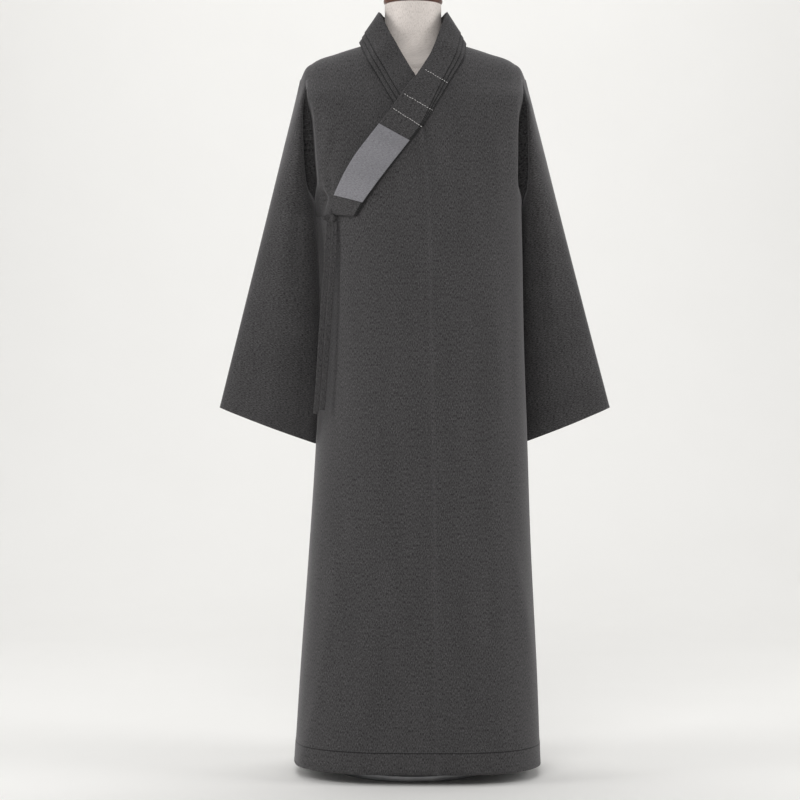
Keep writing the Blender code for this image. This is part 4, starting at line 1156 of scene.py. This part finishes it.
def cloth_material(name, colour, light, dark, speckle=0.5, thread=0.0011, sheen=0.25,
                   bump=0.25, line_at=None):
    """Fleece-backed cotton: melange weave, matt, with a soft nap that catches light edge on."""
    made, tree, shader = new_material(name)
    pattern = node(tree, "ShaderNodeUVMap", uv_map="flat_pattern").outputs[0]
    woven = use(tree, "woven", Pattern=pattern, Colour=(*colour, 1), Light_yarn=(*light, 1),
                Dark_yarn=(*dark, 1), Speckle=speckle, Thread=thread)
    colour_out, height = woven.outputs["Colour"], woven.outputs["Height"]
    # the stitched line paints shade into the colour along its groove, and also cuts the groove in
    # the bump
    if line_at is not None:
        line = use(tree, "line", Pattern=pattern, Colour=colour_out, At=line_at)
        colour_out = line.outputs["Colour"]
        height = maths(tree, "SUBTRACT", height, maths(tree, "MULTIPLY",
                                                       line.outputs["Groove"], 3.0))
    bumped = node(tree, "ShaderNodeBump", (("Height", height), ("Strength", bump),
                                           ("Distance", 0.0004)))
    tree.links.new(colour_out, shader.inputs["Base Color"])
    tree.links.new(bumped.outputs[0], shader.inputs["Normal"])
    shader.inputs["Roughness"].default_value = 0.92
    shader.inputs["Specular IOR Level"].default_value = 0.25
    shader.inputs["Sheen Weight"].default_value = sheen
    shader.inputs["Sheen Roughness"].default_value = 0.45
    shader.inputs["Sheen Tint"].default_value = (0.9, 0.88, 0.9, 1)
    return made


def wood_material():
    """Dark stained wood with a satin varnish."""
    made, tree, shader = new_material("dark_wood_satin")
    place = node(tree, "ShaderNodeTexCoord").outputs["Object"]
    grain = use(tree, "grain", Place=place, Light=(0.150, 0.055, 0.033, 1),
                Dark=(0.050, 0.016, 0.010, 1))
    bumped = node(tree, "ShaderNodeBump", (("Height", grain.outputs["Height"]),
                                           ("Strength", 0.12), ("Distance", 0.0003)))
    tree.links.new(grain.outputs["Colour"], shader.inputs["Base Color"])
    tree.links.new(bumped.outputs[0], shader.inputs["Normal"])
    shader.inputs["Roughness"].default_value = 0.38
    shader.inputs["Coat Weight"].default_value = 0.4
    shader.inputs["Coat Roughness"].default_value = 0.2
    return made


def steel_material():
    """Turned steel: fine rings round the axis in roughness and height."""
    made, tree, shader = new_material("brushed_steel_turned")
    place = node(tree, "ShaderNodeTexCoord").outputs["Object"]
    flat = node(tree, "ShaderNodeVectorMath", ((0, place), (1, (1, 1, 0))), operation="MULTIPLY")
    radius = node(tree, "ShaderNodeVectorMath", ((0, flat.outputs[0]),), operation="LENGTH")
    height = node(tree, "ShaderNodeSeparateXYZ", ((0, place),)).outputs[2]
    rings = node(tree, "ShaderNodeCombineXYZ", ((0, radius.outputs["Value"]), (1, height)))
    spread = node(tree, "ShaderNodeMapping", (("Vector", rings.outputs[0]),
                                              ("Scale", (2200, 2200, 1))))
    noise = node(tree, "ShaderNodeTexNoise", (("Vector", spread.outputs[0]), ("Scale", 1.0),
                                              ("Detail", 3.0)))
    wear = node(tree, "ShaderNodeTexNoise", (("Vector", place), ("Scale", 35.0),
                                             ("Detail", 5.0)))
    colour = mixed(tree, ramp(tree, wear.outputs[0], 0.35, 0.7), (0.26, 0.26, 0.27, 1),
                   (0.34, 0.34, 0.35, 1))
    rough = node(tree, "ShaderNodeMapRange", ((0, noise.outputs[0]), (1, 0.3), (2, 0.7),
                                              (3, 0.26), (4, 0.42)))
    bumped = node(tree, "ShaderNodeBump", (("Height", noise.outputs[0]), ("Strength", 0.08),
                                           ("Distance", 0.0002)))
    tree.links.new(colour, shader.inputs["Base Color"])
    tree.links.new(rough.outputs[0], shader.inputs["Roughness"])
    tree.links.new(bumped.outputs[0], shader.inputs["Normal"])
    shader.inputs["Metallic"].default_value = 1.0
    return made


GREY = dict(colour=(0.0520, 0.0502, 0.0511), light=(0.098, 0.095, 0.097),
            dark=(0.017, 0.016, 0.017), speckle=0.95)
# the hem's stitched line and the collar bands' edge lines carry painted shade in their colour
gown_cloth = cloth_material("gown_cloth", line_at=HEM_HEIGHT + HEM_TURN, **GREY)
collar_cloth = cloth_material("collar_cloth", line_at=COLLAR_STITCH_LINE, sheen=0.12, **GREY)
tie_cloth = cloth_material("tie_cloth", **GREY)
patch_cloth = cloth_material("patch_cloth", (0.215, 0.212, 0.228), (0.320, 0.318, 0.335),
                             (0.110, 0.108, 0.120), speckle=0.5, sheen=0.1)
linen = cloth_material("form_linen", (0.715, 0.655, 0.615), (0.820, 0.780, 0.745),
                       (0.430, 0.380, 0.340), speckle=0.5, thread=0.0009, sheen=0.1, bump=0.35)
white_thread = cloth_material("white_thread", (0.700, 0.695, 0.685), (0.850, 0.850, 0.840),
                              (0.380, 0.375, 0.370), thread=0.0004, sheen=0.1)
wood, steel = wood_material(), steel_material()

# Cloth panels
over_cutter, under_cutter, back_cutter = cutters()
left = merged_mesh("left_half", quarter(1, -1, flat_level) + quarter(1, 1, flat_level))
right = merged_mesh("right_half", quarter(-1, -1, under_level) + quarter(-1, 1, flat_level))
wrap = merged_mesh("outer_wrap", quarter(-1, -1, over_level, parts=("upper", "skirt")))
lap = merged_mesh("underlap", quarter(1, -1, underlap_level, UNDERLAP_SHARE,
                                      ("upper", "skirt")))
left_half = show("left_half", thick_and_cut(left, (over_cutter, back_cutter)), gown_cloth)
right_half = show("right_half", thick_and_cut(right, (under_cutter, back_cutter)), gown_cloth)
outer_wrap = show("outer_wrap", thick_and_cut(wrap, (over_cutter,)), gown_cloth)
underlap = show("underlap", thick_and_cut(lap, (under_cutter,)), gown_cloth)
for cutter in (over_cutter, under_cutter, back_cutter):
    bpy.data.objects.remove(cutter, do_unlink=True)
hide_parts("front_left", "back_left")
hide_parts("front_right", "back_right")
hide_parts("front_overlap")
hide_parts("front_underlap")

# Collar and patch
pitch = COLLAR_SHEET + COLLAR_GAP
for number, (name, edge) in enumerate((("collar_band_low", None), ("collar_band_mid", "middle"),
                                       ("collar_band_top", "top"))):
    low = number * pitch
    band = joined(name, [collar_band(name, 0, COLLAR_END, low, low + COLLAR_SHEET, edge,
                                     ROWS_ALONG_COLLAR)])
    show(name, band, collar_cloth)
    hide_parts(("collar_lower", "collar_middle", "collar_top")[number])
places = np.linspace(0, COLLAR_END, COLLAR_STATIONS)
low = 3 * pitch
patch = show("light_patch", joined("light_patch", [collar_band(
    "patch", places[PATCH_SPAN[0]], places[PATCH_SPAN[1]], low, low + PATCH_THICKNESS, "top",
    ROWS_ALONG_PATCH)]), patch_cloth)
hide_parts("collar_patch")

# Running stitches across the collar, seen from the front in X and Z: where each row starts and
# ends, and how many stitches it has. A stitch takes the middle two thirds of its share.
STITCH_RADIUS, STITCH_FROM, STITCH_TO = 0.00048, 0.16, 0.84
STITCH_ROWS = table(
    "from_x from_z to_x to_z dashes",
    (0.0202, 1.2733, 0.0617, 1.2493, 10),
    (-0.0168, 1.2275, 0.0355, 1.1965, 12),
    (-0.0365, 1.2012, 0.0158, 1.1675, 13))
dashes = []
stitch_height = 2 * pitch + COLLAR_SHEET + 0.0002
for from_x, from_z, to_x, to_z, count in zip(*STITCH_ROWS.values()):
    t = np.linspace(0, 1, int(count) + 1)[:-1]
    starts = np.stack([from_x + (to_x - from_x) * t, from_z + (to_z - from_z) * t], axis=1)
    step = np.array([to_x - from_x, to_z - from_z]) / count
    a, normal = on_collar(starts + step * STITCH_FROM, stitch_height)
    b, _ = on_collar(starts + step * STITCH_TO, stitch_height)
    dashes += [thread_dash(p, q, n, STITCH_RADIUS) for p, q, n in zip(a, b, normal)]
stitches = show("collar_stitches", joined("collar_stitches", dashes), white_thread)

# Ties: the wound knot, the loop beside it, the strap above it and the two hanging ends
FRONT = (0.0, -1.0, 0.0)
TIE_WIDTH, TIE_THICKNESS = 0.0100, 0.0021
knot_x, knot_z = KNOT
knot_y = float(chest_depth(knot_x + KNOT_SIZE[0], knot_z)[0]) - 0.0050 - KNOT_SIZE[1]
turn = np.linspace(0, 1, 41)
swell = np.sin(math.pi * turn)
evenly = 2 * turn - 1


def bow(centre, size, start, sweep, depth):
    """A loop: an ellipse in X and Z with its depth swelling forward at its middle."""
    angle = math.radians(start) + math.radians(sweep) * turn
    return np.stack([centre[0] + size[0] * np.cos(angle), centre[1] + depth * swell,
                     centre[2] + size[1] * np.sin(angle)], axis=1)


outer_wind = bow((knot_x, knot_y, knot_z), (0.0062, 0.0036), 200, -290, -0.0022)
inner_wind = bow((knot_x + 0.0016, knot_y - 0.0008, knot_z - 0.0006), (0.0048, 0.0040), 100, -230,
                 -0.0030)
core = np.stack([knot_x + 0.0072 * evenly, knot_y + 0.0006 + 0.0016 * np.cos(math.pi * evenly),
                 knot_z + 0.0006 - 0.0020 * turn], axis=1)
core_radius = 0.0044 * np.sqrt(np.clip(1 - evenly ** 4, 0.03, 1))
knot = show("tie_knot_wound", joined("tie_knot_wound", [
    ribbon(outer_wind, 0.0066, 0.0020, FRONT), ribbon(inner_wind, 0.0058, 0.0019, FRONT),
    tube(core, core_radius, 20)]), tie_cloth)
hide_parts("tie_knot")
side_loop = np.stack([knot_x - 0.0015 - 0.0125 * swell ** 0.8 * (0.6 + 0.4 * turn),
                      knot_y - 0.0010 - 0.0022 * swell, knot_z + 0.0040 - 0.0080 * turn], axis=1)
strap = np.stack([knot_x + 0.0026 + 0.0068 * turn ** 1.3, knot_y - 0.0008 + 0.0045 * turn,
                  knot_z + 0.0030 + 0.0270 * turn], axis=1)
loops = show("tie_straps", joined("tie_straps", [
    ribbon(side_loop, 0.0050, 0.0016, FRONT),
    ribbon(strap, 0.0056, 0.0017, FRONT, fold=0.0004)]), tie_cloth)
for name, rows in TIES.items():
    path = tie_path(rows, knot_y, ROWS_ALONG_TIE)
    path[-1, 2] = knot_z - KNOT_SIZE[2] - 0.0004
    share = np.linspace(0, 1, len(path))
    path[:, 0] += 0.0006 * np.sin(share * 9 + len(name))
    width = TIE_WIDTH * (1 - 0.30 * smooth(share, 0.86, 1.0))
    fold = 0.0008 * smooth(share, 0.3, 0.95)
    data = joined(name + "_cloth", [ribbon(path, width, TIE_THICKNESS, FRONT, fold)])
    show(name + "_cloth", data, tie_cloth)
    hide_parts(name)

# Dress form and stand
heights = np.linspace(FORM_NECK["height"][0], FORM_NECK["height"][-1], 60)
neck = oval_loft([(z, read(FORM_NECK, "half_width", z), read(FORM_NECK, "front", z),
                   read(FORM_NECK, "back", z)) for z in heights])
form = show("form_cover", joined("form_cover", [torso_mesh(), neck]), linen)
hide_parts("form_torso")
top = float(FORM_NECK["height"][-1])
rim = rounded([(-0.050, 0.0004), (-0.003, 0.0004), (0.0016, 0.0020), (0.0026, 0.0060),
               (0.0014, 0.0112), (-0.008, 0.0162), (-0.022, 0.0204), (-0.050, 0.0212)], 0.003)
cap = show("cap_turned", joined("cap_turned", [oval_loft(
    [(top + rise, NECK_HALF_WIDTH + max(grow, -0.0515), NECK_FRONT - max(grow, -0.0435),
      NECK_BACK + max(grow, -0.0435)) for grow, rise in rim])]), wood)
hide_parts("neck_cap")
pole = show("pole_turned", joined("pole_turned", [turned(
    rounded([(0.002, BASE_THICKNESS + 0.0183), (POLE_RADIUS, BASE_THICKNESS + 0.0183),
             (POLE_RADIUS, TORSO_BOTTOM - 0.0003), (0.002, TORSO_BOTTOM - 0.0003)], 0.0005))]),
    steel)
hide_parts("stand_pole")
base = show("base_turned", joined("base_turned", [turned(
    rounded([(0.002, 0.0), (BASE_RADIUS, 0.0), (BASE_RADIUS, BASE_THICKNESS),
             (0.036, BASE_THICKNESS + 0.0015), (0.026, BASE_THICKNESS + 0.006),
             (0.024, BASE_THICKNESS + 0.018), (0.002, BASE_THICKNESS + 0.018)], 0.002))]),
    steel)
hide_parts("stand_base")

# Studio
def floor_mesh():
    """A sweep: flat floor that curves up behind by a quarter circle into an upright wall."""
    flat_until, radius, wall_top = 2.0, 2.2, 7.0
    angle = np.linspace(0, math.pi / 2, 24)[1:]
    y = np.concatenate([[-9.0, -4.0, 0.0, flat_until], flat_until + radius * np.sin(angle),
                        [flat_until + radius]])[:, None]
    z = np.concatenate([[0.0] * 4, radius * (1 - np.cos(angle)), [wall_top]])[:, None]
    x = np.linspace(-8, 8, 9)[None, :]
    points = np.dstack([x + 0 * y, y + 0 * x, z + 0 * x])
    return grid_mesh("sweep", points, points[:, :, :2])


sweep_finish, tree, shader = new_material("pale_sweep")
place = node(tree, "ShaderNodeTexCoord").outputs["Object"]
mottle = node(tree, "ShaderNodeTexNoise", (("Vector", place), ("Scale", 3.0), ("Detail", 4.0)))
tree.links.new(mixed(tree, mottle.outputs[0], (0.860, 0.852, 0.832, 1),
                     (0.885, 0.878, 0.860, 1)), shader.inputs["Base Color"])
shader.inputs["Roughness"].default_value = 0.9
floor = show("sweep", floor_mesh(), sweep_finish, ride=False)

scene = bpy.context.scene
scene.view_settings.view_transform = "Standard"
world = bpy.data.worlds.new("studio")
world.use_nodes = True
world.node_tree.nodes["Background"].inputs["Color"].default_value = (1.0, 0.995, 0.985, 1)
world.node_tree.nodes["Background"].inputs["Strength"].default_value = 0.24
scene.world = world


def softbox(name, place, aim, size, power):
    """A rectangular light at a place, turned to face the point it aims at."""
    lamp = bpy.data.lights.new(name, "AREA")
    lamp.shape = "RECTANGLE"
    lamp.size, lamp.size_y = size
    lamp.energy = power
    thing = bpy.data.objects.new(name, lamp)
    thing.location = place
    direction = np.array(aim, float) - np.array(place, float)
    flat = math.hypot(direction[0], direction[1])
    thing.rotation_euler = (math.pi / 2 + math.atan2(direction[2], flat), 0.0,
                            math.atan2(-direction[0], direction[1]))
    scene.collection.objects.link(thing)


softbox("front_soft", (-0.6, -3.6, 3.1), (0, 0, 1.15), (2.2, 1.6), 62)
softbox("left_soft", (-3.0, -0.8, 1.5), (0, 0, 0.8), (1.2, 2.4), 44)
softbox("right_soft", (3.0, -0.8, 1.5), (0, 0, 0.8), (1.2, 2.4), 44)
softbox("wall_wash", (0.0, 1.2, 4.5), (0, 3.6, 0.8), (4.5, 1.6), 100)

camera = bpy.data.cameras.new("camera")
camera.sensor_width = SENSOR_MM
camera.lens = SENSOR_MM * (-CAMERA_PLACE[1] / PIXEL) / PICTURE_WIDTH
camera.clip_end = 60.0
eye = bpy.data.objects.new("camera", camera)
eye.location = CAMERA_PLACE
eye.rotation_euler = (math.pi / 2, 0.0, 0.0)
scene.collection.objects.link(eye)
scene.camera = eye
